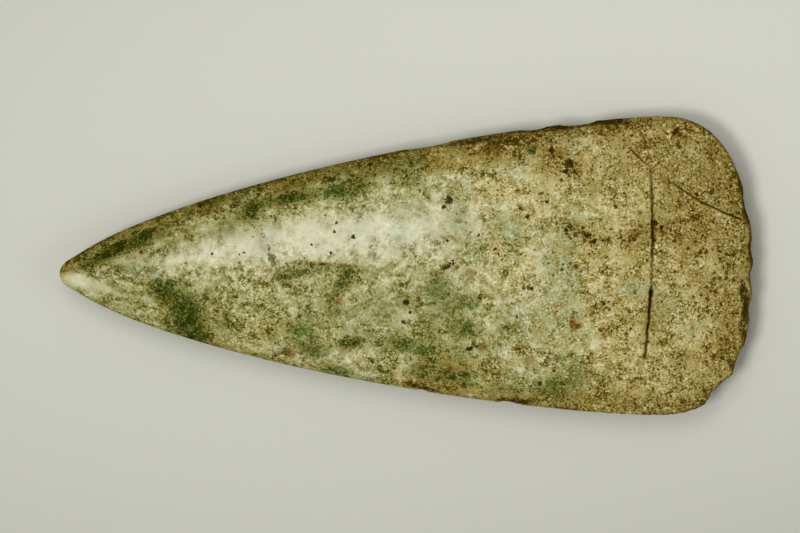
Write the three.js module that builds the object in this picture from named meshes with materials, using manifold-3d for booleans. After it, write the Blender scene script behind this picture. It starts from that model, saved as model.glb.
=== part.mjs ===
// A polished jadeite axe head, pointed at the butt and broad at the cutting edge, as one
// solid stone. It lies on one face: +X runs from the butt point to the cutting edge, +Z is
// up, and the small flat spot that it rests on is on z = 0. Lengths are in millimetres.

import * as THREE from 'three';
import { mergeVertices } from 'three/addons/utils/BufferGeometryUtils.js';
import Module from 'manifold-3d';

const wasm = await Module();
wasm.setup();

// Driving dimensions
const LENGTH = 200;
const WIDTH = 86;
const THICKNESS = 23;

// Outline: each side swells from the butt point to the widest line, and the cutting edge
// closes it with a rounded arch. The powers set how full the two curves are. A small round
// of TIP_RADIUS blunts the butt point, and TIP_JOIN sets how tightly it meets the sides.
const WIDEST_AT = 0.86 * LENGTH;
const SIDE_POWER = 1.44;
const SIDE_FULLNESS = 0.66;
const ARCH_ACROSS_POWER = 2.2;
const ARCH_ALONG_POWER = 2.8;
const TIP_RADIUS = 3.9;
const TIP_JOIN = 6;

// Thickness: a lens that is thickest near the middle, with a low ridge on the butt that
// fades into a smooth round back towards the cutting edge.
const THICKEST_AT = 0.53 * LENGTH;
const BUTT_POWER = 1.7;
const BUTT_FULLNESS = 0.55;
const BLADE_POWER = 2.3;
const RIDGE_POWER = 1.45;
const BACK_POWER = 2.4;
const FLANK_FULLNESS = 0.62;
const RIDGE_SOFTNESS = 0.06;
const BLUNTNESS = 0.7;
const FLAT_DEPTH = 0.35;

// Mesh: rings of points between the butt point and the cutting edge, closer at both ends
const RINGS = 46;
const COLUMNS = 28;
const CORNER_SHARE = 0.93;
const BOW_POWER = 3;

const MIDDLE = THICKNESS / 2;
const HALF_WIDTH = WIDTH / 2;
const CORNER_AT = archX(CORNER_SHARE * HALF_WIDTH);

// Distance along the length of the cutting edge, y off the middle line
function archX(y) {
  const across = Math.min(Math.abs(y) / HALF_WIDTH, 1);
  const reach = (1 - across ** ARCH_ACROSS_POWER) ** (1 / ARCH_ALONG_POWER);
  return WIDEST_AT + (LENGTH - WIDEST_AT) * reach;
}

// Half the width of the outline, x along the length
function halfWidth(x) {
  if (x < WIDEST_AT) {
    const left = (1 - x / WIDEST_AT) ** SIDE_POWER;
    const side = HALF_WIDTH * (1 - left) ** SIDE_FULLNESS;
    const tip = Math.sqrt(Math.max(x * (2 * TIP_RADIUS - x), 0));
    return (side ** TIP_JOIN + tip ** TIP_JOIN) ** (1 / TIP_JOIN);
  }
  const along = Math.min((x - WIDEST_AT) / (LENGTH - WIDEST_AT), 1);
  return HALF_WIDTH * (1 - along ** ARCH_ALONG_POWER) ** (1 / ARCH_ACROSS_POWER);
}

// Share of the full thickness along the length: 0 at the butt point and the cutting edge
function lengthwise(x, y) {
  if (x < THICKEST_AT) {
    return (1 - (1 - x / THICKEST_AT) ** BUTT_POWER) ** BUTT_FULLNESS;
  }
  const along = Math.min((x - THICKEST_AT) / (archX(y) - THICKEST_AT), 1);
  return 1 - along ** BLADE_POWER;
}

// Share of the ridge's height across the width: 1 on the middle line and 0 on the outline
function crosswise(x, y) {
  const width = Math.max(halfWidth(x), 1e-6);
  const across = Math.min(Math.abs(y) / width, 1);
  const rounded = Math.hypot(across, RIDGE_SOFTNESS * Math.sqrt(1 - across ** 2));
  const power = RIDGE_POWER + (BACK_POWER - RIDGE_POWER) * (x / LENGTH);
  const drop = (1 - rounded ** power) / (1 - RIDGE_SOFTNESS ** power);
  return Math.max(drop, 0) ** FLANK_FULLNESS;
}

// Height of the blunt cutting edge, a quarter round of radius BLUNTNESS
function bluntEdge(x, y) {
  const inside = Math.min(Math.max(archX(y) - x, 0) / BLUNTNESS, 1);
  return BLUNTNESS * Math.sqrt(1 - (1 - inside) ** 2);
}

// Half the thickness of the stone at a place in the outline
function halfThickness(x, y, full) {
  const lens = (full - BLUNTNESS) * lengthwise(x, y);
  return crosswise(x, y) * (lens + bluntEdge(x, y));
}

// A place in the outline: ring runs 0 to 1 along the length, column -1 to 1 across it
function place(ring, column) {
  const straight = ring * CORNER_AT;
  const bow = archX(column * CORNER_SHARE * HALF_WIDTH) - CORNER_AT;
  return new THREE.Vector2(straight + bow * ring ** BOW_POWER, column * halfWidth(straight));
}

// Closed skin of the lens: the two faces share the points of the outline
function lensGeometry() {
  const points = [];
  const triangles = [];
  const faces = [
    { side: 1, full: THICKNESS - MIDDLE, rows: [] },
    { side: -1, full: MIDDLE + FLAT_DEPTH, rows: [] },
  ];
  for (const face of faces) {
    for (let i = 1; i <= RINGS; i += 1) {
      const ring = (1 - Math.cos((Math.PI * i) / RINGS)) / 2;
      const row = [];
      for (let j = 0; j <= COLUMNS; j += 1) {
        const column = Math.sin(Math.PI * (j / COLUMNS - 0.5));
        const at = place(ring, column);
        const onOutline = i === RINGS || j === 0 || j === COLUMNS;
        const height = onOutline ? 0 : halfThickness(at.x, at.y, face.full);
        row.push(points.length / 3);
        points.push(at.x, at.y, MIDDLE + face.side * height);
      }
      face.rows.push(row);
    }
    const tip = points.length / 3;
    points.push(0, 0, MIDDLE);
    const add = (a, b, c) => triangles.push(...(face.side > 0 ? [a, b, c] : [a, c, b]));
    for (let j = 0; j < COLUMNS; j += 1) {
      add(tip, face.rows[0][j], face.rows[0][j + 1]);
      for (let i = 1; i < RINGS; i += 1) {
        const near = face.rows[i - 1];
        const far = face.rows[i];
        add(near[j], far[j], far[j + 1]);
        add(near[j], far[j + 1], near[j + 1]);
      }
    }
  }
  const geometry = new THREE.BufferGeometry();
  geometry.setAttribute('position', new THREE.Float32BufferAttribute(points, 3));
  geometry.setIndex(triangles);
  return geometry;
}

// A closed mesh as a solid that can be cut
function solid(geometry) {
  const bare = geometry.clone();
  bare.deleteAttribute('normal');
  bare.deleteAttribute('uv');
  const merged = mergeVertices(bare, 1e-5);
  return new wasm.Manifold(new wasm.Mesh({
    numProp: 3,
    vertProperties: new Float32Array(merged.attributes.position.array),
    triVerts: new Uint32Array(merged.index.array),
  }));
}

const CHIP_SEGMENTS = 12;

// A chip: an egg-shaped bite of the stone, its long axis turned to follow the outline
function chip(x, y, height, turn, long, deep, tall) {
  const bite = new THREE.SphereGeometry(1, CHIP_SEGMENTS, CHIP_SEGMENTS / 2);
  bite.scale(deep / 2, long / 2, tall / 2);
  bite.rotateZ(turn);
  bite.translate(x, y, MIDDLE + height);
  return solid(bite);
}

// Chips on the cutting edge: across is a share of the half width, the rest are lengths
const EDGE_CHIPS = [
  { across: 0.4, long: 9.5, deep: 2, height: 0.6 },
  { across: 0.1, long: 6, deep: 1.3, height: 0.5 },
  { across: -0.08, long: 7.5, deep: 2, height: 0.7 },
  { across: -0.284, long: 11, deep: 4.1, height: 1.6 },
  { across: -0.64, long: 9, deep: 1.7, height: 0.4 },
  { across: -0.85, long: 13, deep: 3.3, height: 0.2 },
  { across: -0.885, long: 3, deep: 4.2, height: 0.5 },
];
const EDGE_CHIP_TALL = 4.6;

function edgeChips() {
  return EDGE_CHIPS.map(({ across, long, deep, height }) => {
    const y = across * HALF_WIDTH;
    const step = 0.02 * HALF_WIDTH;
    const turn = Math.atan2(archX(y - step) - archX(y + step), 2 * step);
    return chip(archX(y), y, height, turn, long, deep, EDGE_CHIP_TALL);
  });
}

// Chips on the sides: along is a share of the length, side is 1 for +Y and -1 for -Y
const SIDE_CHIPS = [
  { along: 0.535, side: 1, long: 14, deep: 1.1, height: 0.4 },
  { along: 0.6875, side: 1, long: 8, deep: 1.7, height: 1 },
  { along: 0.75, side: 1, long: 12.4, deep: 2.8, height: 1.2 },
  { along: 0.52, side: -1, long: 4, deep: 1.1, height: 0.9 },
  { along: 0.645, side: -1, long: 6, deep: 1.5, height: 0.9 },
];
const SIDE_CHIP_TALL = 5.5;

function sideChips() {
  return SIDE_CHIPS.map(({ along, side, long, deep, height }) => {
    const x = along * LENGTH;
    const step = 0.01 * LENGTH;
    const slope = (halfWidth(x + step) - halfWidth(x - step)) / (2 * step);
    const turn = Math.PI / 2 + side * Math.atan(slope);
    return chip(x, side * halfWidth(x), height, turn, long, deep, SIDE_CHIP_TALL);
  });
}

// The narrow groove across the upper face, a little behind the cutting edge
const GROOVE_AT = 0.8545 * LENGTH;
const GROOVE_BOW = 0.0145 * LENGTH;
const GROOVE_BOW_CENTRE = 0.35;
const GROOVE_START = 0.69 * HALF_WIDTH;
const GROOVE_END = -0.68 * HALF_WIDTH;
const GROOVE_WIDTH = 1.1;
const GROOVE_DEPTH = 0.6;
const GROOVE_STEPS = 20;
const GROOVE_RISE = 1.5;

// Place of the groove along the length, y off the middle line
function grooveX(y) {
  return GROOVE_AT - GROOVE_BOW * (y / HALF_WIDTH - GROOVE_BOW_CENTRE) ** 2;
}

// Wedge that follows the upper face, its point down and its two ends running out
function grooveWedge() {
  const points = [];
  const triangles = [];
  for (let i = 0; i <= GROOVE_STEPS; i += 1) {
    const share = i / GROOVE_STEPS;
    const y = THREE.MathUtils.lerp(GROOVE_START, GROOVE_END, share);
    const x = grooveX(y);
    const fade = 0.1 + 0.9 * Math.sqrt(Math.sin(Math.PI * share));
    const skin = MIDDLE + halfThickness(x, y, THICKNESS - MIDDLE);
    const spread = (GROOVE_WIDTH / 2) * fade * (1 + GROOVE_RISE / GROOVE_DEPTH);
    points.push(x - spread, y, skin + GROOVE_RISE * fade);
    points.push(x, y, skin - GROOVE_DEPTH * fade);
    points.push(x + spread, y, skin + GROOVE_RISE * fade);
  }
  for (let i = 0; i < GROOVE_STEPS; i += 1) {
    for (let k = 0; k < 3; k += 1) {
      const next = (k + 1) % 3;
      const here = 3 * i;
      const there = here + 3;
      triangles.push(here + k, here + next, there + next);
      triangles.push(here + k, there + next, there + k);
    }
  }
  const last = 3 * GROOVE_STEPS;
  triangles.push(0, 2, 1, last, last + 1, last + 2);
  const geometry = new THREE.BufferGeometry();
  geometry.setAttribute('position', new THREE.Float32BufferAttribute(points, 3));
  geometry.setIndex(triangles);
  return solid(geometry);
}

// Mesh of a cut solid in which the two ends of every edge shorter than SHORT_EDGE are one
const SHORT_EDGE = 0.02;

function cleanGeometry(stone) {
  const { vertProperties, triVerts } = stone.getMesh();
  const corner = (index) => new THREE.Vector3().fromArray(vertProperties, 3 * index);
  const joined = Array.from({ length: vertProperties.length / 3 }, (_, index) => index);
  const find = (index) => (joined[index] === index ? index : find(joined[index]));
  for (let i = 0; i < triVerts.length; i += 1) {
    const next = i % 3 === 2 ? i - 2 : i + 1;
    const [a, b] = [find(triVerts[i]), find(triVerts[next])];
    if (a !== b && corner(a).distanceTo(corner(b)) < SHORT_EDGE) {
      joined[Math.max(a, b)] = Math.min(a, b);
    }
  }
  const triangles = [];
  for (let i = 0; i < triVerts.length; i += 3) {
    const [a, b, c] = Array.from(triVerts.slice(i, i + 3), find);
    if (a !== b && b !== c && c !== a) {
      triangles.push(a, b, c);
    }
  }
  const geometry = new THREE.BufferGeometry();
  geometry.setAttribute('position', new THREE.BufferAttribute(vertProperties, 3));
  geometry.setIndex(triangles);
  return geometry;
}

// The stone: the lens with its flat spot, chips and groove cut
function axeHead() {
  let stone = solid(lensGeometry()).trimByPlane([0, 0, 1], 0);
  for (const cut of [...edgeChips(), ...sideChips(), grooveWedge()]) {
    stone = stone.subtract(cut);
  }
  const geometry = cleanGeometry(stone);
  geometry.computeVertexNormals();
  const jadeite = new THREE.MeshStandardMaterial({ color: 0x8d8655, roughness: 0.38, metalness: 0 });
  const mesh = new THREE.Mesh(geometry, jadeite);
  mesh.name = 'axe_head';
  mesh.position.x = -LENGTH / 2;
  return mesh;
}

const part = new THREE.Group();
part.add(axeHead());

export default part;
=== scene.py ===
# %% [markdown]
# # A polished jadeite axe head
# The object is one piece of green stone, ground and polished thousands of years ago. It is
# pointed at the butt and broad at the cutting edge, and it lies on one face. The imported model
# gives its size and place, and everything below is worked out from that box.

# %% The frame
import math

import bpy
import numpy as np
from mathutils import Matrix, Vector, noise


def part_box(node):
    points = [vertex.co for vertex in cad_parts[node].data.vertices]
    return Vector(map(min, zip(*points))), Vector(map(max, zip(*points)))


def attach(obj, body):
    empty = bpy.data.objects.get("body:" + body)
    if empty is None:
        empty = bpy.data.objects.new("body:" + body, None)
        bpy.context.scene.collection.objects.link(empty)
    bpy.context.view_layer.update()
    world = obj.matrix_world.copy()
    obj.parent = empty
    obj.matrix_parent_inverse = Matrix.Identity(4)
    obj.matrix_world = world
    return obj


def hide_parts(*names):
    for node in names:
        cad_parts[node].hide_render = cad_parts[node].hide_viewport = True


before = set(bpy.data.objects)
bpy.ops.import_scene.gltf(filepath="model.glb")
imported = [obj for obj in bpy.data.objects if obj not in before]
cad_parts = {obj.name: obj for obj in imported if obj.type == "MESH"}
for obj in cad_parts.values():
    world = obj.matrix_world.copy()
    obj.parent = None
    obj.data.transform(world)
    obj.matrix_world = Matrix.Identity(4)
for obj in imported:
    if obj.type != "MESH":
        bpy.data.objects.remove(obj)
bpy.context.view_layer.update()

# %% [markdown]
# ## Measures
# Lengths are easiest to think about in millimetres from the butt point, with y across the
# stone and z up from the table. Blender works in metres from the middle of the stone, so one
# small function turns the first into the second when a mesh is made.

# %% Measures
MM = 0.001
low, high = (np.array(corner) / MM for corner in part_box("axe_head"))
LENGTH, WIDTH, THICKNESS = high - low
HALF_WIDTH = WIDTH / 2
MIDDLE = THICKNESS / 2


def in_metres(x, y, z):
    """Points from the butt point, in millimetres, as rows in the frame's metres."""
    rows = np.stack(np.broadcast_arrays(x + low[0], y, z), axis=-1)
    return rows.reshape(-1, 3) * MM


print("length, width, thickness:", np.round([LENGTH, WIDTH, THICKNESS], 2), "mm")

# %% [markdown]
# ## The outline
# The maker ground both sides to the same swelling curve, and closed them with a rounded
# cutting edge. A power curve and a superellipse describe these in a few numbers, and unlike a
# traced line they can be asked for at any place, so the mesh can be as fine as it likes.

# %% Outline
WIDEST_AT = 0.86 * LENGTH
SIDE_POWER = 1.44
SIDE_FULLNESS = 0.66
ARCH_ACROSS_POWER = 2.2
ARCH_ALONG_POWER = 2.8
TIP_RADIUS = 3.9
TIP_JOIN = 6


def arch_x(y):
    """How far along the length the cutting edge is, y off the middle line."""
    across = np.minimum(np.abs(y) / HALF_WIDTH, 1)
    reach = (1 - across**ARCH_ACROSS_POWER) ** (1 / ARCH_ALONG_POWER)
    return WIDEST_AT + (LENGTH - WIDEST_AT) * reach


def half_width(x):
    """Half the width of the outline at a place along the length."""
    left = np.clip(1 - x / WIDEST_AT, 0, 1) ** SIDE_POWER
    along = np.clip((x - WIDEST_AT) / (LENGTH - WIDEST_AT), 0, 1)
    arch = (1 - along**ARCH_ALONG_POWER) ** (1 / ARCH_ACROSS_POWER)
    side = HALF_WIDTH * (1 - left) ** SIDE_FULLNESS
    tip = np.sqrt(np.clip(x * (2 * TIP_RADIUS - x), 0, None))
    return (side**TIP_JOIN + tip**TIP_JOIN) ** (1 / TIP_JOIN) * arch


print("half width a quarter of the way along:", round(float(half_width(LENGTH / 4)), 1), "mm")

# %% [markdown]
# ## The thickness
# Seen from the side the stone is a lens. The butt keeps a low ridge along its middle, which
# fades into a smooth round back towards the cutting edge. One curve along the length and one
# across the width, multiplied, give that shape, and a small quarter round blunts the edge.

# %% Thickness
THICKEST_AT = 0.53 * LENGTH
BUTT_POWER = 1.7
BUTT_FULLNESS = 0.55
BLADE_POWER = 2.3
RIDGE_POWER = 1.45
BACK_POWER = 2.4
FLANK_FULLNESS = 0.62
RIDGE_SOFTNESS = 0.06
BLUNTNESS = 0.7
FLAT_DEPTH = 0.35


def lengthwise(x, y):
    """Share of the full thickness along the length, 0 at both ends."""
    before = np.clip(1 - x / THICKEST_AT, 0, 1)
    after = np.clip((x - THICKEST_AT) / (arch_x(y) - THICKEST_AT), 0, 1)
    butt = (1 - before**BUTT_POWER) ** BUTT_FULLNESS
    return np.where(x < THICKEST_AT, butt, 1 - after**BLADE_POWER)


def crosswise(x, y):
    """Share of the ridge's height across the width, 1 in the middle and 0 at the sides."""
    across = np.clip(np.abs(y) / np.maximum(half_width(x), 1e-6), 0, 1)
    rounded = np.hypot(across, RIDGE_SOFTNESS * np.sqrt(1 - across**2))
    power = RIDGE_POWER + (BACK_POWER - RIDGE_POWER) * (x / LENGTH)
    drop = (1 - rounded**power) / (1 - RIDGE_SOFTNESS**power)
    return np.maximum(drop, 0) ** FLANK_FULLNESS


def half_thickness(x, y, full):
    """Half the thickness of the stone, full at its thickest place."""
    inside = np.clip((arch_x(y) - x) / BLUNTNESS, 0, 1)
    blunt = BLUNTNESS * np.sqrt(1 - (1 - inside) ** 2)
    return crosswise(x, y) * ((full - BLUNTNESS) * lengthwise(x, y) + blunt)


print("half thickness in the middle:", round(float(half_thickness(0.5 * LENGTH, 0.0, MIDDLE)), 2),
      "mm")

# %% [markdown]
# ## The chips
# The cutting edge and the sides lost flakes in use and in the ground. Each chip is an
# egg-shaped bite. Where a bite reaches through both faces the outline itself steps back, and
# where it only takes the upper face it leaves a hollow scar behind the edge.

# %% Chips
EDGE_CHIPS = [
    {"across": 0.4, "long": 9.5, "deep": 2, "height": 0.6},
    {"across": 0.1, "long": 6, "deep": 1.3, "height": 0.5},
    {"across": -0.08, "long": 7.5, "deep": 2, "height": 0.7},
    {"across": -0.284, "long": 11, "deep": 4.1, "height": 1.6},
    {"across": -0.64, "long": 9, "deep": 1.7, "height": 0.4},
    {"across": -0.85, "long": 13, "deep": 3.3, "height": 0.2},
    {"across": -0.885, "long": 3, "deep": 4.2, "height": 0.5},
]
EDGE_CHIP_TALL = 4.6
SIDE_CHIPS = [
    {"along": 0.535, "side": 1, "long": 14, "deep": 1.1, "height": 0.4},
    {"along": 0.6875, "side": 1, "long": 8, "deep": 1.7, "height": 1},
    {"along": 0.75, "side": 1, "long": 12.4, "deep": 2.8, "height": 1.2},
    {"along": 0.52, "side": -1, "long": 4, "deep": 1.1, "height": 0.9},
    {"along": 0.645, "side": -1, "long": 6, "deep": 1.5, "height": 0.9},
]
SIDE_CHIP_TALL = 5.5


def edge_bite(chip):
    """Centre, turn and half sizes of a chip on the cutting edge."""
    y = chip["across"] * HALF_WIDTH
    step = 0.02 * HALF_WIDTH
    turn = math.atan2(arch_x(y - step) - arch_x(y + step), 2 * step)
    return arch_x(y), y, turn, chip["deep"] / 2, chip["long"] / 2, chip["height"], EDGE_CHIP_TALL / 2


def side_bite(chip):
    """Centre, turn and half sizes of a chip on a side."""
    x = chip["along"] * LENGTH
    step = 0.01 * LENGTH
    slope = (half_width(x + step) - half_width(x - step)) / (2 * step)
    turn = math.pi / 2 + chip["side"] * math.atan(slope)
    y = chip["side"] * half_width(x)
    return x, y, turn, chip["deep"] / 2, chip["long"] / 2, chip["height"], SIDE_CHIP_TALL / 2


BITES = [edge_bite(chip) for chip in EDGE_CHIPS] + [side_bite(chip) for chip in SIDE_CHIPS]


def faces_at(x, y):
    """Heights of the upper and the lower face at a place, with the chips taken out."""
    upper = half_thickness(x, y, MIDDLE)
    lower = -half_thickness(x, y, MIDDLE + FLAT_DEPTH)
    for bite_x, bite_y, turn, deep, long, height, tall in BITES:
        across = (x - bite_x) * math.cos(turn) + (y - bite_y) * math.sin(turn)
        along = (y - bite_y) * math.cos(turn) - (x - bite_x) * math.sin(turn)
        reach = tall * np.sqrt(np.clip(1 - (across / deep) ** 2 - (along / long) ** 2, 0, 1))
        cut = (reach > 0) & (upper > height - reach)
        upper = np.where(cut, height - reach, upper)
    return np.maximum(upper, lower), lower


print(len(BITES), "chips")

# %% [markdown]
# ## The skin
# The skin is a net of rings between the butt point and the cutting edge, crossed by columns.
# The rings bend to follow the edge, so the last one is the edge itself, chips and all. They
# lie closer where there is more to show: at the two ends and along the groove. Small nibbles
# make the outline crumbly in some stretches and leave it calm in others. The underside has a
# quarter as many faces, because nobody sees it, and shares the outline's own points.

# %% Net of the skin
CORNER_SHARE = 0.93
CORNER_AT = arch_x(CORNER_SHARE * HALF_WIDTH)
BOW_POWER = 3
COLUMNS = 176
EVEN_SHARE = 0.6
# Each row: a place along the stone and how far apart the rings are there
RING_SPACING = [(0, 0.12), (2, 0.3), (8, 0.85), (100, 0.85), (108, 0.5), (165, 0.5), (167, 0.28),
                (177, 0.28), (179, 0.5), (197, 0.4), (200, 0.12)]
PLACES_TRIED = 4001
SHARES_TRIED = 2001
DEEPEST_RECESS = 4
RECESS_STEPS = np.linspace(0, DEEPEST_RECESS, 161)
THIN = 0.03
# Each noise along an edge: its size, and the layer of the noise that it is read from
NIBBLE_NOISES = [(2.2, 0.5), (0.8, 7.5), (8.0, 3.5)]
NIBBLE_DEPTH = 0.3
NIBBLE_RELIEF = 0.16
NIBBLE_LEAST = -0.25
COARSE_WEIGHT = 1.2
CRUMBLY_MEAN = 0.45
CRUMBLY_SWING = 1.4
CRUMBLY_LEAST, CRUMBLY_MOST = 0.15, 1.2
SIDE_NIBBLES = 0.5
SIDE_WEAR_FROM, SIDE_WEAR_RUN = 90, 60
SIDE_NOISE_ROW = 3
SIDE_REACH = 30


def ring_places():
    """Places of the rings, 0 to 1, from the spacing that each stretch of the stone needs."""
    x = np.linspace(0, LENGTH, PLACES_TRIED)
    spacing = np.interp(x, *zip(*RING_SPACING))
    count = np.concatenate([[0], np.cumsum((1 / spacing)[1:] * np.diff(x))])
    ring_total = 2 * round(count[-1] / 2)
    middle = np.interp(np.linspace(0, count[-1], ring_total + 1), count, x)
    share = np.linspace(0, 1, SHARES_TRIED)
    line = share * CORNER_AT + (LENGTH - CORNER_AT) * share**BOW_POWER
    return np.interp(middle, line, share)[1:]


def column_places():
    """Places of the columns, -1 to 1, closer at both sides."""
    share = np.linspace(-1, 1, COLUMNS + 1)
    return EVEN_SHARE * share + (1 - EVEN_SHARE) * np.sin(share * math.pi / 2)


def recess(x, y, step_x, step_y):
    """How far the outline steps back into the stone from each of its places."""
    steps = RECESS_STEPS[:, None]
    upper, lower = faces_at(x - steps * step_x, y - steps * step_y)
    solid = upper - lower > THIN
    return np.where(solid.any(axis=0), RECESS_STEPS[solid.argmax(axis=0)], 0)


def edge_noise(places, row, size, layer):
    """A smooth noise at places along an edge."""
    return np.array([noise.noise(Vector((place / size, row, layer))) for place in places])


def nibbles(places, row):
    """Depth of the small irregular losses of an edge, in calm and in crumbly stretches."""
    coarse, fine, stretch = (edge_noise(places, row, *settings) for settings in NIBBLE_NOISES)
    crumbly = np.clip(CRUMBLY_MEAN + CRUMBLY_SWING * stretch, CRUMBLY_LEAST, CRUMBLY_MOST)
    return NIBBLE_DEPTH * np.clip((COARSE_WEIGHT * coarse + fine) * crumbly, NIBBLE_LEAST, 1) - NIBBLE_RELIEF


rings = ring_places()[:, None]
columns = column_places()[None, :]
straight = rings * CORNER_AT
edge_y = columns[0] * CORNER_SHARE * HALF_WIDTH
edge_recess = recess(arch_x(edge_y), edge_y, 1, 0) + nibbles(edge_y, 0)
side = np.sign(columns)
side_x = straight[:, 0]
worn_side = SIDE_NIBBLES * np.clip((side_x - SIDE_WEAR_FROM) / SIDE_WEAR_RUN, 0, 1)
right_recess, left_recess = (
    recess(side_x, s * half_width(side_x), 0, s) + worn_side * nibbles(side_x, s + SIDE_NOISE_ROW)
    for s in (-1, 1))
side_recess = np.where(side < 0, right_recess[:, None], left_recess[:, None])
net_x = straight + (arch_x(edge_y) - edge_recess - CORNER_AT) * rings**BOW_POWER
net_y = columns * half_width(straight) - side * side_recess * np.abs(columns) ** SIDE_REACH
print("rings and columns:", net_x.shape, "deepest step back:", round(float(edge_recess.max()), 2), "mm")

# %% Points and faces of the skin
upper, lower = faces_at(net_x, net_y)
outline = np.zeros(net_x.shape, bool)
outline[-1] = outline[:, 0] = outline[:, -1] = True
between = (upper + lower) / 2
upper = np.where(outline, between, upper)
ring_count, column_count = net_x.shape
upper_index = 1 + np.arange(net_x.size).reshape(net_x.shape)
lower_index = upper_index.copy()
coarse = np.zeros(net_x.shape, bool)
coarse[1::2, ::2] = True
coarse &= ~outline
lower_index[coarse] = 1 + net_x.size + np.arange(coarse.sum())
lower_z = np.maximum(MIDDLE + lower[coarse], 0)
points = np.concatenate([
    in_metres(0.0, 0.0, MIDDLE),
    in_metres(net_x, net_y, MIDDLE + upper),
    in_metres(net_x[coarse], net_y[coarse], lower_z),
])


def lower_face(i, j):
    """Corners of one wide face of the underside, with the outline's points between them."""
    last_ring, last_column = ring_count - 1, column_count - 1
    corners = []
    if i < 0:
        corners += [0]
    else:
        corners += [lower_index[i, j + 2], lower_index[i, j]]
    if j == 0:
        corners += [upper_index[i + 1, 0]]
    corners += [lower_index[i + 2, j]]
    if i + 2 == last_ring:
        corners += [upper_index[i + 2, j + 1]]
    corners += [lower_index[i + 2, j + 2]]
    if j + 2 == last_column:
        corners += [upper_index[i + 1, last_column]]
    return [int(corner) for corner in reversed(corners)]


near, far = upper_index[:-1], upper_index[1:]
quads = np.stack([near[:, :-1], far[:, :-1], far[:, 1:], near[:, 1:]], axis=-1).reshape(-1, 4)
faces = quads.tolist()
faces += [[0, int(a), int(b)] for a, b in zip(upper_index[0, :-1], upper_index[0, 1:])]
faces += [lower_face(i, j) for i in range(-1, ring_count - 1, 2) for j in range(0, column_count - 1, 2)]
skin_mesh = bpy.data.meshes.new("stone_skin")
skin_mesh.from_pydata(points.tolist(), [], faces)
print(len(points), "points,", len(faces), "faces")

# %% [markdown]
# ## The stains
# Jadeite is never one green. Deep green clouds, pale sage ones, ochre staining from the soil, dusky and
# chalky places, polish, rusty spots, swarms of pits and dark scars of the rim lie where the stone has them,
# so they are given one by one, as soft ovals. Some pale ovals are painted sheen instead: they paint the
# highlight along the ridge of the butt and at the butt point into the colour. The dark scars hold painted
# shade of the chip hollows as well as dirt. Each kind becomes a number at every point of the skin, and the
# material breaks it up into ragged grains later. The colour runs through the stone, so both faces share the
# ovals.

# %% Ovals of each stain
# Each row: x, y, half length, half width, turn in degrees, strength
GREEN = [
    (37, -13, 8, 4, -62, 1.0), (30, -6, 5, 2.8, -35, 0.95), (38.5, -13, 3.4, 7, 0, 0.95),
    (33, -3.5, 4, 2.2, 0, 0.5), (12, 4.4, 7, 1.7, 26, 0.75), (23, 9, 8, 2.4, 24, 0.75),
    (55.5, 17, 4, 3, 70, 0.95), (47, 14.5, 9, 2.0, 15, 0.2), (33, 12, 7, 2.0, 25, 0.25),
    (59, 10, 7, 1.1, -62, 0.55), (62, 2.4, 5, 1.2, -70, 0.55), (65, -1.5, 4, 1.6, 0, 0.7),
    (66, 20.5, 7, 1.8, 14, 0.9), (78, 22.5, 6, 2.4, 12, 0.6), (86, 23.6, 6, 3.0, 30, 0.65),
    (97, 28, 7, 2, 12, 0.3), (103, 25, 5, 3, -30, 0.45), (48, -6, 3, 5, 0, 0.2), (75, 0, 9, 1.6, 0, 0.5),
    (82, -4, 5, 2.4, 55, 0.8), (42, -18, 3, 3, 0, 0.5), (70, -17.5, 6, 2.6, -30, 0.8),
    (72, -22.5, 5, 2.6, -20, 0.85), (84, -21, 5, 2, 0, 0.85), (98.5, -21.5, 4, 2.4, -10, 0.85),
    (80, -29, 6, 1.8, -12, 0.85), (106, -23, 4, 3.4, 0, 0.6), (117, -17, 6, 3, -20, 0.7),
    (92, -13, 5, 3, 0, 0.4), (79, -12, 4, 3, 0, 0.45), (97, -16, 3, 4, 0, 0.35), (109, -4, 4, 3, 70, 0.7),
    (112, -11, 5, 5, 0, 0.5), (118, -9.5, 4, 3, 0, 0.55), (106, -16, 4, 3, 80, 0.55),
    (114, -22, 5, 3, 80, 0.2), (115, -25, 7, 3.2, 0, 0.25), (113, -31, 8, 2.4, -12, 0.55),
    (104, -30, 5, 2.4, -12, 0.5), (130, -35, 5, 2, -10, 0.5), (141, -34, 6, 3.4, 0, 0.55),
    (146, -12, 5, 9, 0, 0.4), (148, 12.5, 7, 3, 0, 0.35), (115, 14, 5, 4, 0, 0.35), (121, 7, 4, 3, 0, 0.3),
    (147, 4, 4, 3, 0, 0.35), (131, 14, 4, 3, 0, 0.3), (163, -15, 5, 4, 0, 0.3), (174, -10, 4, 5, 0, 0.35),
    (138, 34, 4, 2, 5, 0.5), (170, -3, 1.5, 3, 0, 0.3),
]
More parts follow.
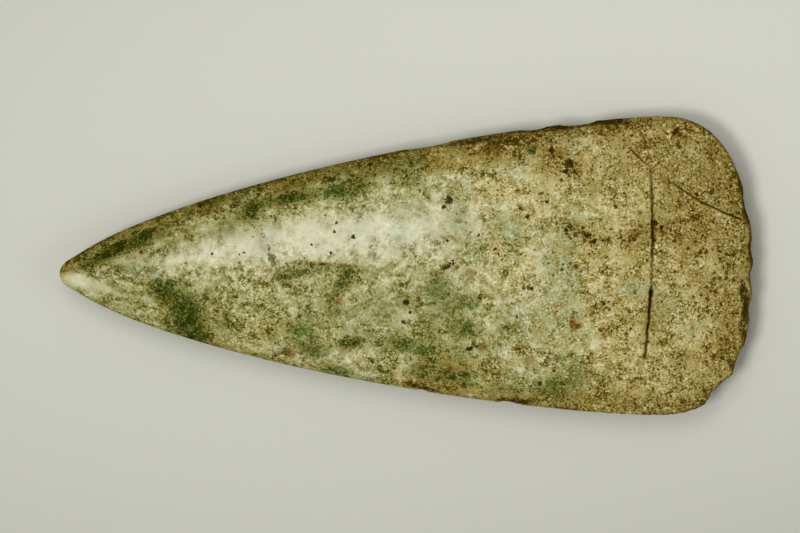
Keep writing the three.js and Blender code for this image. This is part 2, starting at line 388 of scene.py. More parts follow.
SAGE = [
    (98, 12, 3, 9, 0, 0.8), (88, 10, 3, 5, 0, 0.5), (115, 13, 4, 8, 0, 0.8), (129, 12, 5, 5, 0, 0.8),
    (120, 4, 3, 3, 0, 0.5), (109, -8, 7, 8, 0, 0.8), (92, -10, 8, 5, 0, 0.6), (84, -14, 7, 5, 0, 0.5),
    (147, 11, 6, 6, 0, 0.7), (130, 5, 3, 5, 0, 0.6), (145, -10, 6, 12, 0, 0.75), (134, -15, 8, 7, 0, 0.7),
    (148, -31, 5, 5, 0, 0.6), (142, -36, 6, 4, 0, 0.7), (128, -33, 6, 4, 0, 0.5), (165, -6, 6, 5, 0, 0.6),
    (175, -13, 5, 8, 0, 0.6), (60, 9, 3, 8, -25, 0.6), (24, 1, 8, 2, 0, 0.7), (20, -5.5, 8, 2, -20, 0.5),
    (7, -3, 6, 1.6, -18, 0.5), (73, -12, 5, 5, 0, 0.6), (93, -20, 8, 6, 0, 0.6), (115, 23, 4, 3, 0, 0.5),
    (174, 12, 2, 4, 0, 0.4), (143, 0, 5, 4, 0, 0.5), (39, -16, 5, 4, 0, 0.6), (74, 8, 3, 5, 0, 0.4),
    (55, 9, 12, 4, 0, 0.35), (82, 9, 9, 6, 0, 0.3), (103, 18, 5, 4, 0, 0.4), (48, 13, 6, 2.4, 20, 0.5),
]
BROWN = [
    (90, 27.5, 16, 1.8, 15, 0.35), (112, 29.5, 12, 2.4, 6, 0.5), (18, 8, 13, 1.8, 26, 0.5),
    (194, 3, 5, 8, 0, 0.35), (153, 22, 4, 4, 0, 0.35), (162, 27, 6, 5, 0, 0.35), (184, 18, 8, 9, 0, 0.25),
    (170, -16, 2.4, 6, -15, 0.5), (180, -27, 3, 3, 0, 0.45), (184, -34, 4, 3, 0, 0.3),
    (132, 31, 5, 3, 0, 0.35), (47, -15, 4, 5, 0, 0.35), (138, -18, 3, 4, 0, 0.5), (60, -17, 3, 6, 0, 0.3),
    (186, 20, 5, 4, 0, 0.25), (163, -35, 5, 3, 0, 0.25), (110, -25, 12, 5, 0, 0.2), (58, -16, 6, 5, 0, 0.2),
    (43, -6, 3, 4, 0, 0.4), (64, -17, 4, 2.4, 0, 0.3), (126, -32, 3, 3, 0, 0.4), (20, -9, 4, 3, 0, 0.3),
    (3, -2.4, 3, 1, -40, 0.4), (132, 36, 6, 3.4, 5, 1.0), (122, 35, 6, 2.4, 10, 0.7),
    (110, 33.5, 9, 2, 12, 0.6), (147, 28, 4, 3.6, 0, 0.75), (143, 33, 4, 3, 0, 0.5),
    (161, 40, 5, 2.2, 5, 0.9), (152, 9.5, 5, 2, -10, 0.8), (147, 11, 3, 2, 0, 0.6), (156, 6, 3, 3, 0, 0.6),
    (165, 8.5, 5, 2.2, 20, 0.7), (171, 13, 3, 3.4, 0, 0.6), (166, 4, 3, 2, 0, 0.5),
    (175, 12, 4, 2, 0, 0.55), (179, 17, 6, 3, 60, 0.5), (178, 8.5, 4, 1.8, -20, 0.6),
    (187, 11, 4, 2.4, 0, 0.55), (188, -5, 4, 2.6, 20, 0.6), (187, -9.5, 3, 2.4, 0, 0.5),
    (192, -10, 3, 5, 0, 0.5), (191, 1, 3, 4, 0, 0.5), (195, 25, 2, 7, 15, 0.55), (193, -24, 4, 4, 0, 0.5),
    (187, -37, 6, 3, 45, 0.6), (160, -41, 14, 1.8, -2, 0.6), (175, -41.5, 12, 2, 4, 0.7),
    (148, -15, 2, 3.4, 0, 0.6), (157, -11, 3, 2, 0, 0.4), (177, 39, 14, 3, -8, 0.55),
    (188, 33, 8, 4, -50, 0.5), (168, 34, 8, 4, -30, 0.4), (182, 26, 8, 6, 0, 0.35),
    (139, 21, 4, 3, 0, 0.35), (124, 22, 6, 3, 0, 0.35), (126, 5, 2, 4, 20, 0.4), (135, -6, 3, 3, 0, 0.35),
    (171, -17, 3, 8, 0, 0.35), (43, 18.4, 8, 1.6, 25, 0.45), (68, 25, 10, 1.8, 17, 0.4),
    (95, 31.5, 12, 1.6, 14, 0.2), (30, 13.4, 7, 1.4, 25, 0.4), (110, -33, 12, 1.8, -12, 0.5),
    (98, -32, 6, 1.6, -12, 0.5), (5, 3.6, 5, 0.9, 38, 0.7), (141, 29, 2, 6, 0, 0.4),
    (137, 38.2, 17, 2.4, 4, 0.5), (153, 39.4, 8, 2, 0, 0.8), (126, 35.6, 10, 2.6, 7, 0.6),
    (76, 27, 20, 1.6, 17, 0.25), (95, 30.4, 8, 2, 14, 0.2), (195, 2, 4, 34, 0, 0.45),
    (185, 30, 10, 9, 0, 0.35), (170, 35, 14, 6, 0, 0.3), (160, -38.5, 20, 2.4, -2, 0.5),
    (191, -27, 5, 7, 0, 0.55), (120, -36, 16, 2.0, -10, 0.5), (140, -37, 14, 2, -4, 0.3),
    (104, -34, 8, 1.2, -13, 0.55), (2, 1, 4, 3, 0, 0.4), (180, 5, 26, 46, 0, 0.22),
    (113, -29, 7, 4, 0, 0.4), (60, -24.5, 12, 1.0, -16, 0.4), (78, 1.6, 10, 0.6, -4, 0.9),
]
DUSK = [
    (30, -1.4, 22, 2, -4, 0.6), (45, -4, 8, 3, 0, 0.4), (11, 2.2, 8, 1.4, 8, 0.8), (130, 36, 18, 4, 4, 0.5),
    (150, -36, 14, 5, 0, 0.4), (170, 10, 4, 3, 0, 0.3), (50, 12.2, 3, 2.2, 0, 0.9),
    (123, -18, 3, 3, 0, 0.7), (151, -15, 2, 2.4, 0, 0.6), (162, 38, 5, 2.4, 0, 0.6),
    (22, -7, 8, 2.4, -20, 0.5), (163, 12, 6, 3, 0, 0.3), (29, 16.4, 8, 2, 25, 1.0),
    (35, -10, 28, 9, -15, 0.5), (82, -7, 26, 6, -5, 0.4), (14, 5, 12, 3, 20, 0.6),
    (187, -5, 9, 30, 0, 0.15), (19, -1, 5, 1.4, 0, 0.6), (69, 0, 3, 2, 0, 0.6), (86, 0.4, 5, 1.8, 0, 0.7),
    (50, -12, 4, 3, 0, 0.5), (38, -18, 7, 2, -22, 0.9), (120, -28, 5, 5, 0, 0.5), (140, -34, 8, 4, 0, 0.4),
    (84, -21, 4, 2.4, 30, 0.7), (103, -27, 3, 2.4, 0, 0.6), (90, 23, 3, 2.6, 0, 0.7),
    (108, 29, 5, 3.4, 30, 0.6), (124, 32, 6, 2.4, 0, 0.7), (140, 29, 2.6, 4, 0, 0.8),
    (136, 38.4, 14, 2, 4, 1.0), (152, 29, 3, 2, 0, 0.6), (160, 41, 6, 1.8, 0, 0.8),
    (170, 10, 2.4, 3, 0, 0.6), (178, 18, 3, 2, 0, 0.5), (183, 14, 2, 4, 0, 0.6), (180, 5, 3, 3, 0, 0.5),
    (183, -3, 2, 2, 0, 0.7), (125, -35, 8, 3, -8, 0.6), (150, -35, 6, 3, 0, 0.5), (163, -40, 4, 2, 0, 0.6),
    (193, -20, 3, 6, 0, 0.6), (198, 8, 2, 4, 0, 0.8), (191, 32, 3, 6, 40, 0.6), (119, -17, 3, 3, 0, 0.5),
    (125, -5, 3, 2.4, 0, 0.4), (113, -30, 4, 3, 0, 0.4), (100, -2, 4, 3, 0, 0.5), (89, -2, 3, 3, 0, 0.4),
    (78, 1.6, 10, 0.6, -4, 0.9), (66, -8, 4, 2.4, 0, 0.3), (96, 27, 6, 2, 12, 0.4),
    (110, -24, 9, 4, 0, 0.3), (68, -22, 7, 3, -20, 0.6), (127, -18, 3, 3, 0, 0.4),
    (172, 41.6, 8, 1.6, 0, 0.9), (163, 2.4, 2.4, 2, 0, 0.6), (188, 28, 5, 2.4, 0, 0.5),
    (146, -30, 7, 3, 0, 0.4), (147, 34, 3, 3, 0, 0.6), (59, 20, 3, 2, 0, 0.6), (113, -19, 5, 2.4, 0, 0.8),
    (186, 11, 3, 2, 0, 0.6), (179, 2, 4, 2.4, 0, 0.6), (176, 36, 3, 2, 0, 0.5), (91, 25, 3, 3, 0, 0.6),
    (154, -32, 3, 3, 0, 0.5), (175, -34, 4, 2.4, 0, 0.4), (196, 22, 2, 5, 15, 0.7),
    (36, -15, 5, 3, -20, 0.5), (46, -12, 3, 3, 0, 0.4), (160, -16, 4, 2, 0, 0.5), (155, 1, 3, 2, 0, 0.5),
]
# Pale clouds of the stone, and painted sheen: the rows along the ridge of the butt and the strong row at the
# butt point paint its highlight into the colour
PALE_AND_SHEEN = [
    (132, 6, 34, 28, 0, 0.3), (118, 22, 14, 8, 0, 0.3), (7, -2.9, 7, 1.9, -16, 2.4), (105, 8, 8, 8, 0, 0.4),
    (122, 15.5, 4, 3, 0, 0.8), (80, 17, 4, 3, 0, 0.6), (70, 8, 8, 5, 0, 0.5), (183, -12, 3, 3, 0, 0.8),
    (190, 0, 4, 3, 0, 0.9), (158, -5, 6, 3, 20, 0.6), (55, -4, 4, 3, 0, 0.7), (145, -9, 4, 4, 0, 0.5),
    (88, -23, 6, 3.4, 0, 0.4), (60, -16, 6, 5, 0, 0.5), (148, 22.5, 4, 2.4, 0, 0.9),
    (140, -12, 6, 8, 0, 0.3), (174, -9, 6, 6, 0, 0.3), (127, 5, 2.6, 3, 0, 0.6), (72, 9, 30, 7, 5, 0.4),
    (40, 5, 16, 3.0, 8, 0.5), (98, 10, 14, 8, 0, 0.4), (127, 20, 8, 5, 0, 0.4), (85, -27, 4, 2.4, 0, 0.5),
    (12, -4, 8, 2, -25, 0.6), (84, -8, 3, 2.4, 50, 0.9), (94, -16, 6, 2.4, 0, 0.6),
    (132, -14, 7, 8, 0, 0.4), (117, -7, 3, 3, 0, 0.6), (143, -19, 4, 3, 0, 0.6), (175, 3, 4, 2.4, 0, 0.4),
    (178, -17, 4, 2.4, 0, 0.7), (92, 26, 4, 2, 10, 0.6), (189, -21, 3, 5, 0, 0.2), (72, -8, 6, 4, 0, 0.3),
    (101, -22.6, 2, 2, 0, 0.9), (99, -32, 4, 2, -15, 0.8), (156, -20, 6, 5, 0, 0.2),
    (153, 16, 6, 5, 0, 0.2), (182, 25, 4, 4, 0, 0.6), (184, 33, 3, 3, 0, 0.7), (22, -8, 10, 4, -20, 0.25),
    (56, -21, 5, 3, -20, 0.7), (71, -24, 4, 2, 0, 0.3), (62, 16, 3, 3, 0, 0.7), (48, 16, 5, 2, 15, 0.8),
    (25, 11, 4, 1.8, 25, 0.5), (35, 12, 5, 1.8, 20, 0.5), (40, -6, 3, 2, 0, 0.6), (79, 24, 5, 1.8, 10, 0.7),
    (97, 22, 6, 3, 0, 0.5), (111, 19, 3, 2.4, 0, 0.8), (103, 5, 4, 3, 0, 0.6), (110, -10, 4, 3, 0, 0.5),
    (163, 16, 3, 3, 0, 0.6), (174, 38, 4, 2.4, 0, 0.6), (172, -31, 4, 3, 0, 0.7),
    (140, -33, 2.4, 2, 0, 0.6), (172, 12, 2, 4, 0, 0.3), (75, -10, 3, 3, 0, 0.5), (116, -21, 3, 2, 0, 0.4),
    (85, -14, 6, 4, 0, 0.7), (144, -12, 6, 6, 0, 0.7), (191, -3, 4, 7, 0, 0.7), (134, -6, 4, 3, 0, 0.6),
    (122, 14.5, 4, 3, 0, 0.6), (103, 6, 5, 3, 0, 0.5), (113, 23, 3, 2.4, 0, 0.7), (98, 17, 5, 3, 0, 0.5),
    (172, -4, 6, 4, 0, 0.5), (144, -2, 4, 4, 0, 0.4), (186, -12, 4, 2.4, 0, 0.5), (110, 13, 2.4, 4, 0, 0.6),
    (68, 6, 5, 4, 0, 0.4), (81, 17, 3, 2, 0, 0.5), (120, -15, 3, 3, 0, 0.5), (128, 15, 4, 3, 0, 0.5),
    (161, 7, 3, 3, 0, 0.6), (190, 14, 4, 3, 0, 0.4), (55, -11, 4, 3, 0, 0.5), (88, -27, 2.4, 3, 0, 0.5),
    (87, 6, 4, 4, 0, 0.6), (135, -17, 5, 4, 0, 0.4), (28, 3, 5, 1.6, 10, 0.5),
]
POLISH = [
    (34, 5.4, 20, 2.4, 9, 1.0), (62, 8.4, 26, 5.4, 4, 1.0), (92, 10.5, 26, 7.5, 3, 0.95),
    (8, -3, 8, 2.2, -18, 1.0),
]
RUST = [
    (112.5, 1.2, 3, 0.9, 35, 0.9), (108, -0.8, 2, 0.6, 0, 0.6), (118, -1.6, 2, 1.6, 0, 0.6),
    (65, -3.8, 2.2, 1.2, 0, 0.55), (80.5, -9, 1.4, 1, 0, 0.9), (66.5, -23.5, 1.8, 1.2, 0, 0.9),
    (82, -22.6, 1.8, 1, 0, 0.8), (86.5, -26, 1.2, 1, 0, 0.8), (100, -9, 0.9, 1.5, 0, 0.9),
    (128, -9, 2, 0.8, 0, 0.6), (126.5, -18, 1.8, 0.9, 0, 0.7), (122, -23, 2.2, 1.6, 20, 0.7),
    (135, -27, 2.2, 2, 0, 0.7), (147.5, -16, 1.0, 2.2, 0, 0.8), (38, 12, 1.8, 1.8, 0, 0.6),
    (29, 11, 2, 1, 0, 0.5), (24, 5.8, 1, 0.8, 0, 0.9), (43, 17, 3, 1.4, 20, 0.5), (66, 24, 3, 1.6, 0, 0.6),
]
PIT_SWARMS = [
    (147, 29, 4, 3.4, -20, 0.9), (143, 33, 3, 2, 0, 0.5), (152, 8.8, 4.4, 2.2, -10, 1.0),
    (146, 11.4, 3, 1.6, 0, 0.8), (170, 11, 3, 2.4, 0, 0.7), (166, 8.6, 3.4, 1.6, 20, 0.8),
    (176, 9, 4, 2.4, -20, 0.9), (180.5, 12, 3, 2, 0, 0.7), (147, 0.4, 2.6, 1.4, 0, 0.8),
    (157, -11.4, 2.6, 1.8, 0, 0.8), (178.6, 38, 2, 2, 0, 0.8), (182, 6, 4, 3, 0, 0.5),
    (190, -4, 4, 2.4, 0, 0.35), (188, -9, 4, 3, 0, 0.3), (195, 2, 3, 5, 0, 0.4), (132, 35, 6, 2.6, 5, 0.8),
    (122, 34, 5, 2.4, 0, 0.5), (161, 39.5, 5, 2, 0, 0.8), (190, 10, 5, 8, 0, 0.12),
    (191, 22, 3, 8, 20, 0.5), (192, -24, 3, 6, 0, 0.6), (187, -37, 5, 3, 45, 0.6),
    (135, -6, 2.4, 2.4, 0, 0.6), (148, -15.5, 2, 3, 0, 0.6), (139, 20, 3, 2, 0, 0.5),
]
# Dark scars along the rim: dirt in the chip hollows, with the shade of those hollows painted in as well
SCARS_AND_SHADE = [
    (197, -7.4, 1.1, 3.0, 0, 0.95), (197.9, -11.2, 0.9, 2.8, 0, 0.95), (197.4, -15, 0.9, 2.2, 0, 0.9),
    (198.6, 15.4, 1.2, 3.4, 0, 1.0), (159, 42.2, 5, 1.3, -2, 1.0), (142, 40.4, 13, 1.1, 4, 0.85),
    (120, 36.6, 9, 0.9, 9, 0.6), (111.6, 0.6, 3.6, 0.7, 35, 0.85), (197, -20, 1.0, 3, 15, 0.8),
    (199.4, 4, 0.8, 4, 0, 0.7), (197.4, 22, 0.9, 4, 18, 0.6), (193.6, -29, 1.0, 3, 25, 0.6),
    (131, -38.4, 6, 0.8, -6, 0.6), (104, -34.2, 5, 0.7, -13, 0.6),
]
STAINS = {"green": GREEN, "sage": SAGE, "brown": BROWN, "dusk": DUSK, "pale": PALE_AND_SHEEN, "polish": POLISH,
          "rust": RUST, "swarm": PIT_SWARMS, "scar": SCARS_AND_SHADE}
stone_x, stone_y = points[:, 0] / MM - low[0], points[:, 1] / MM
print(sum(len(ovals) for ovals in STAINS.values()), "ovals")


def oval_field(ovals):
    """Share of a stain at every point of the skin, 0 to 1."""
    clear = np.ones(len(points))
    for x, y, half_length, half_wide, turn, strength in ovals:
        c, s = math.cos(math.radians(turn)), math.sin(math.radians(turn))
        along = ((stone_x - x) * c + (stone_y - y) * s) / half_length
        across = ((stone_y - y) * c - (stone_x - x) * s) / half_wide
        clear *= 1 - strength * np.exp(-(along**2) - across**2)
    return 1 - clear


# %% [markdown]
# Some staining follows the form itself: soil and dusk lie along the upper side of the butt,
# soil stuck to the rim, and the cutting half is more weathered and pitted than the butt.
# These shares come from the distance to the outline and from the place along the length.

# %% Stains that follow the form
# Each run: where a smooth step begins and where it ends
UPPER_SIDE_RUN = (-2, 6)
POLISHED_END_RUN = (92, 128)
WEATHERED_RUN = (100, 150)
WEATHERED_LEAN = 0.35
FLANK_STAIN, FLANK_STAIN_DEEP = 0.35, 1.6
FLANK_DUSK_DEEP = 8.5
RIM_STAIN, RIM_STAIN_DEEP = 0.5, 1.1
PITTED_ANYWAY = 0.25
PITTED_BUTT = 0.5


def soft_step(value, start, end):
    """0 before the start, 1 after the end and a smooth rise between them."""
    share = np.clip((value - start) / (end - start), 0, 1)
    return share * share * (3 - 2 * share)


blade_order = np.argsort(net_y[-1])
to_blade = np.interp(stone_y, net_y[-1][blade_order], net_x[-1][blade_order]) - stone_x
to_side = half_width(stone_x) - np.abs(stone_y)
edge_distance = np.maximum(np.minimum(to_blade, to_side), 0)
stains = {name: oval_field(ovals) for name, ovals in STAINS.items()}
butt_side = soft_step(stone_y, *UPPER_SIDE_RUN) * (1 - soft_step(stone_x, *POLISHED_END_RUN))
flank_stain = FLANK_STAIN * butt_side * np.exp(-((edge_distance / FLANK_STAIN_DEEP) ** 2))
flank_dusk = butt_side * np.exp(-((edge_distance / FLANK_DUSK_DEEP) ** 4))
rim_stain = RIM_STAIN * np.exp(-edge_distance / RIM_STAIN_DEEP)
brown = 1 - (1 - stains["brown"]) * (1 - flank_stain) * (1 - rim_stain)
weathered = soft_step(stone_x + WEATHERED_LEAN * stone_y, *WEATHERED_RUN)
pitted_blade = weathered * (PITTED_ANYWAY + (1 - PITTED_ANYWAY) * brown)
FIELDS = stains | {
    "brown": brown,
    "dusk": 1 - (1 - stains["dusk"]) * (1 - flank_dusk),
    "weathered": weathered,
    "pitted": pitted_blade + PITTED_BUTT * brown * (1 - weathered),
    "edge_distance": edge_distance,
}
for name, values in FIELDS.items():
    skin_mesh.attributes.new(name, "FLOAT", "POINT").data.foreach_set("value", values.astype(np.float32))
print({name: round(float(values.mean()), 2) for name, values in FIELDS.items()})

# %% [markdown]
# ## Building node trees
# Both Geometry Nodes and materials are trees of nodes. A helper adds one node, sets its
# choices and fills its inputs, linking where it is given another node's output. Others stand
# for sums of numbers and of vectors, so that each tree reads as a recipe. The last makes the
# named inputs and outputs of a group.

# %% Helpers for node trees
def add(tree, kind, inputs=None, **choices):
    """A new node with its choices set and its inputs filled or linked."""
    node = tree.nodes.new(kind)
    for name, choice in choices.items():
        setattr(node, name, choice)
    for key, value in (inputs or {}).items():
        if isinstance(value, bpy.types.NodeSocket):
            tree.links.new(value, node.inputs[key])
        else:
            node.inputs[key].default_value = value
    return node


def maths(tree, operation, a, b=0.0, c=0.0, clamp=False):
    """The output of one sum, in a material or in Geometry Nodes."""
    node = add(tree, "ShaderNodeMath", {0: a, 1: b, 2: c}, operation=operation, use_clamp=clamp)
    return node.outputs[0]


FLAT = (1.0, 1.0, 0.0)
HALF_GREY = (0.5, 0.5, 0.5)


def chain(tree, operation, first, *others):
    """The outcome of one operation over several numbers in turn."""
    for other in others:
        first = maths(tree, operation, first, other)
    return first


def vectors(tree, operation, *given, scale=None):
    """The outcome of one operation on vectors, a number where the operation measures."""
    inputs = dict(enumerate(given))
    if scale is not None:
        inputs["Scale"] = scale
    node = add(tree, "ShaderNodeVectorMath", inputs, operation=operation)
    return node.outputs["Value" if operation in ("LENGTH", "DISTANCE", "DOT_PRODUCT") else "Vector"]


def rise(tree, value, start, end, low_value=0.0, high_value=1.0):
    """A smooth rise from the low value to the high one while a number goes from start to end."""
    inputs = {0: value, 1: start, 2: end, 3: low_value, 4: high_value}
    return add(tree, "ShaderNodeMapRange", inputs, interpolation_type="SMOOTHSTEP").outputs[0]


def new_group(name, kind, inputs, output, output_kind="NodeSocketFloat"):
    """An empty node group: its tree, its inputs by name and the node that takes its output."""
    tree = bpy.data.node_groups.new(name, kind)
    for label, default in inputs.items():
        is_kind = isinstance(default, str)
        socket_kind = default if is_kind else {float: "NodeSocketFloat", int: "NodeSocketInt"}[type(default)]
        socket = tree.interface.new_socket(label, in_out="INPUT", socket_type=socket_kind)
        if not is_kind:
            socket.default_value = default
    tree.interface.new_socket(output, in_out="OUTPUT", socket_type=output_kind)
    return tree, add(tree, "NodeGroupInput").outputs, add(tree, "NodeGroupOutput").inputs


# %% [markdown]
# ## Wear on the surface
# Polish leaves the faces a little uneven, the weathered half is full of small pits, and one
# narrow groove crosses the upper face. All of this follows the surface or a path, so Geometry
# Nodes make it: a soft noise swells the skin, points scattered where the stone is pitted pull
# it in, and a curve that is laid over it presses the groove and the crack.

# %% The wear tree
LINE_STEPS = 40
CLEAR_OF_TABLE = (0.0005, 0.003)
GROOVE_FADE = 0.002
SMALLEST_PIT = 0.4


def pressed_line(tree, flat_place, ends, width, depth):
    """Depth of a V-shaped line along a curve from end to end, at every point."""
    start, bend, end = ends
    curve = add(tree, "GeometryNodeCurveQuadraticBezier",
                {"Resolution": LINE_STEPS, "Start": start, "Middle": bend, "End": end}).outputs[0]
    wire = add(tree, "GeometryNodeCurveToMesh", {"Curve": curve}).outputs[0]
    near = add(tree, "GeometryNodeProximity", {0: wire, "Sample Position": flat_place},
               target_element="EDGES")
    share = maths(tree, "DIVIDE", near.outputs["Distance"], maths(tree, "MULTIPLY", width, 0.5))
    return maths(tree, "MULTIPLY", maths(tree, "SUBTRACT", 1.0, share, clamp=True), depth)


WEAR = {
    "Geometry": "NodeSocketGeometry",
    "Swell Size": 0.022, "Swell Height": 0.0003,
    "Pits per Square Metre": 60000.0, "Pit Radius": 0.0009, "Pit Depth": 0.00016, "Pit Seed": 7,
    "Groove Start": "NodeSocketVector", "Groove Bend": "NodeSocketVector", "Groove End": "NodeSocketVector",
    "Groove Width": 0.0012, "Groove Depth": 0.0006, "Groove Faint Share": 0.3, "Groove Faint Above": -0.005,
    "Crack Start": "NodeSocketVector", "Crack Bend": "NodeSocketVector", "Crack End": "NodeSocketVector",
    "Crack Width": 0.0009, "Crack Depth": 0.00018,
    "Top Above": float(MIDDLE * MM),
    "Material": "NodeSocketMaterial",
}


def wear_tree():
    """Geometry Nodes that swell the skin, pit it and press the groove and the crack."""
    tree, want, result = new_group("stone_wear", "GeometryNodeTree", WEAR, "Geometry", "NodeSocketGeometry")
    place = add(tree, "GeometryNodeInputPosition").outputs[0]
    parts = add(tree, "ShaderNodeSeparateXYZ", {0: place}).outputs
    flat = add(tree, "ShaderNodeCombineXYZ", {"X": parts["X"], "Y": parts["Y"]}).outputs[0]
    on_top = maths(tree, "GREATER_THAN", parts["Z"], want["Top Above"])
    clear_of_table = rise(tree, parts["Z"], *CLEAR_OF_TABLE)
    swell_scale = maths(tree, "DIVIDE", 1.0, want["Swell Size"])
    swell = add(tree, "ShaderNodeTexNoise", {"Vector": place, "Scale": swell_scale, "Detail": 1.0})
    swell = chain(tree, "MULTIPLY", maths(tree, "SUBTRACT", swell.outputs[0], 0.5), want["Swell Height"],
                  clear_of_table)
    pitted = add(tree, "GeometryNodeInputNamedAttribute", {"Name": "pitted"}, data_type="FLOAT").outputs[0]
    density = maths(tree, "MULTIPLY", pitted, want["Pits per Square Metre"])
    pits = add(tree, "GeometryNodeDistributePointsOnFaces",
               {"Mesh": want["Geometry"], "Density": density, "Seed": want["Pit Seed"]},
               distribute_method="RANDOM").outputs["Points"]
    near = add(tree, "GeometryNodeProximity", {0: pits}, target_element="POINTS")
    chance = add(tree, "ShaderNodeTexWhiteNoise", {"Vector": near.outputs["Position"]}).outputs["Value"]
    size = maths(tree, "MULTIPLY_ADD", chance, 1 - SMALLEST_PIT, SMALLEST_PIT)
    radius = maths(tree, "MULTIPLY", want["Pit Radius"], size)
    hollow = rise(tree, maths(tree, "DIVIDE", near.outputs["Distance"], radius), 0.0, 1.0, 1.0, 0.0)
    hollow = maths(tree, "MULTIPLY", hollow, want["Pit Depth"])
    groove_ends = (want["Groove Start"], want["Groove Bend"], want["Groove End"])
    groove = pressed_line(tree, flat, groove_ends, want["Groove Width"], want["Groove Depth"])
    deep_below = maths(tree, "SUBTRACT", want["Groove Faint Above"], GROOVE_FADE)
    depth_share = rise(tree, parts["Y"], deep_below, want["Groove Faint Above"], 1.0,
                       want["Groove Faint Share"])
    groove = maths(tree, "MULTIPLY", groove, depth_share)
    crack_ends = (want["Crack Start"], want["Crack Bend"], want["Crack End"])
    crack = pressed_line(tree, flat, crack_ends, want["Crack Width"], want["Crack Depth"])
    lines = maths(tree, "MULTIPLY", maths(tree, "MAXIMUM", groove, crack), on_top)
    lift = maths(tree, "SUBTRACT", swell, maths(tree, "ADD", hollow, lines))
    normal = add(tree, "GeometryNodeInputNormal").outputs[0]
    offset = vectors(tree, "SCALE", normal, scale=lift)
    moved = add(tree, "GeometryNodeSetPosition", {"Geometry": want["Geometry"], "Offset": offset}).outputs[0]
    dirt = maths(tree, "DIVIDE", hollow, want["Pit Depth"])
    kept = add(tree, "GeometryNodeStoreNamedAttribute", {"Geometry": moved, "Name": "hollow", "Value": dirt},
               data_type="FLOAT", domain="POINT").outputs[0]
    smooth = add(tree, "GeometryNodeSetShadeSmooth", {0: kept}).outputs[0]
    real = add(tree, "GeometryNodeRealizeInstances", {0: smooth}).outputs[0]
    dressed = add(tree, "GeometryNodeSetMaterial", {0: real, "Material": want["Material"]}).outputs[0]
    tree.links.new(dressed, result["Geometry"])
    return tree


stone_wear = wear_tree()
print(len(stone_wear.nodes), "nodes in the wear tree")

# %% [markdown]
# ## Groups for the stone's finish
# Four effects are used again and again in the stone's colour, so each is a node group. Grain
# is the crystals of the stone at one size. Scattered specks are dark grains, as many as a
# share asks for, in other places on the upper face than below it. Ragged stain turns a soft
# field into grains that follow it. Bent line draws a thin arc for the groove or the crack.

# %% Grain group
GRAIN_CONTRAST = 2.4


def grain_group():
    """Crystals of one size, as a number from 0 to 1."""
    tree, want, result = new_group("stone_grain", "ShaderNodeTree",
                                   {"Vector": "NodeSocketVector", "Grain Size": 1.0}, "Grain")
    crystals = add(tree, "ShaderNodeTexNoise", {
        "Vector": want["Vector"], "Scale": maths(tree, "DIVIDE", 1.0, want["Grain Size"]),
        "Detail": 2.0, "Roughness": 0.6, "Distortion": 0.3})
    grain = maths(tree, "MULTIPLY_ADD", crystals.outputs[0], GRAIN_CONTRAST, (1 - GRAIN_CONTRAST) / 2,
                  clamp=True)
    tree.links.new(grain, result["Grain"])
    return tree


stone_grain = grain_group()
print("inputs of a grain:", [item.name for item in stone_grain.interface.items_tree])

# %% Speck group
SPECK_WARP = 1.1
SPECK_WARP_SCALE = 1.3
SMALLEST_SPECK = 0.35
OTHER_FACE_SHIFT = 300.0


def speck_group():
    """Dark specks at random places, each with a size of its own."""
    inputs = {"Vector": "NodeSocketVector", "Spacing": 1.5, "Radius": 0.4, "Share": 0.3,
              "Other Face Above": 10.0}
    tree, want, result = new_group("scattered_specks", "ShaderNodeTree", inputs, "Mask")
    place = want["Vector"]
    warp = add(tree, "ShaderNodeTexNoise", {"Vector": place, "Scale": SPECK_WARP_SCALE, "Detail": 1.0})
    shift = vectors(tree, "SUBTRACT", warp.outputs["Color"], HALF_GREY)
    bent = vectors(tree, "MULTIPLY_ADD", shift, (SPECK_WARP,) * 3, place)
    height = add(tree, "ShaderNodeSeparateXYZ", {0: place}).outputs["Z"]
    on_top = maths(tree, "GREATER_THAN", height, want["Other Face Above"])
    other_face = maths(tree, "MULTIPLY", on_top, OTHER_FACE_SHIFT)
    moved = add(tree, "ShaderNodeCombineXYZ", {"X": other_face, "Y": other_face}).outputs[0]
    cells = add(tree, "ShaderNodeTexVoronoi", {
        "Vector": vectors(tree, "ADD", bent, moved), "Scale": maths(tree, "DIVIDE", 1.0, want["Spacing"]),
        "Randomness": 1.0}, voronoi_dimensions="2D")
    chance = add(tree, "ShaderNodeSeparateXYZ", {0: cells.outputs["Color"]}).outputs
    present = maths(tree, "LESS_THAN", chance["X"], want["Share"])
    size = maths(tree, "MULTIPLY_ADD", chance["Y"], 1 - SMALLEST_SPECK, SMALLEST_SPECK)
    reach = maths(tree, "DIVIDE", maths(tree, "MULTIPLY", cells.outputs["Distance"], want["Spacing"]),
                  maths(tree, "MULTIPLY", size, want["Radius"]))
    mask = maths(tree, "MULTIPLY", rise(tree, reach, 0.55, 1.15, 1.0, 0.0), present)
    tree.links.new(mask, result["Mask"])
    return tree


scattered_specks = speck_group()
print(len(scattered_specks.nodes), "nodes for the specks")

# %% Ragged stain group
STAIN_PRESENCE = 2.5


def stain_group():
    """A soft field broken up by grains, and left alone where the field is nothing."""
    inputs = {"Field": 0.0, "Grain": 0.5, "Raggedness": 0.6, "Threshold": 0.5, "Softness": 0.15}
    tree, want, result = new_group("ragged_stain", "ShaderNodeTree", inputs, "Mask")
    jitter = maths(tree, "MULTIPLY", maths(tree, "SUBTRACT", want["Grain"], 0.5), want["Raggedness"])
    presence = maths(tree, "MULTIPLY", want["Field"], STAIN_PRESENCE, clamp=True)
    value = maths(tree, "MULTIPLY_ADD", jitter, presence, want["Field"])
    start = maths(tree, "SUBTRACT", want["Threshold"], want["Softness"])
    end = maths(tree, "ADD", want["Threshold"], want["Softness"])
    tree.links.new(rise(tree, value, start, end), result["Mask"])
    return tree


ragged_stain = stain_group()
print(len(ragged_stain.nodes), "nodes for a stain")

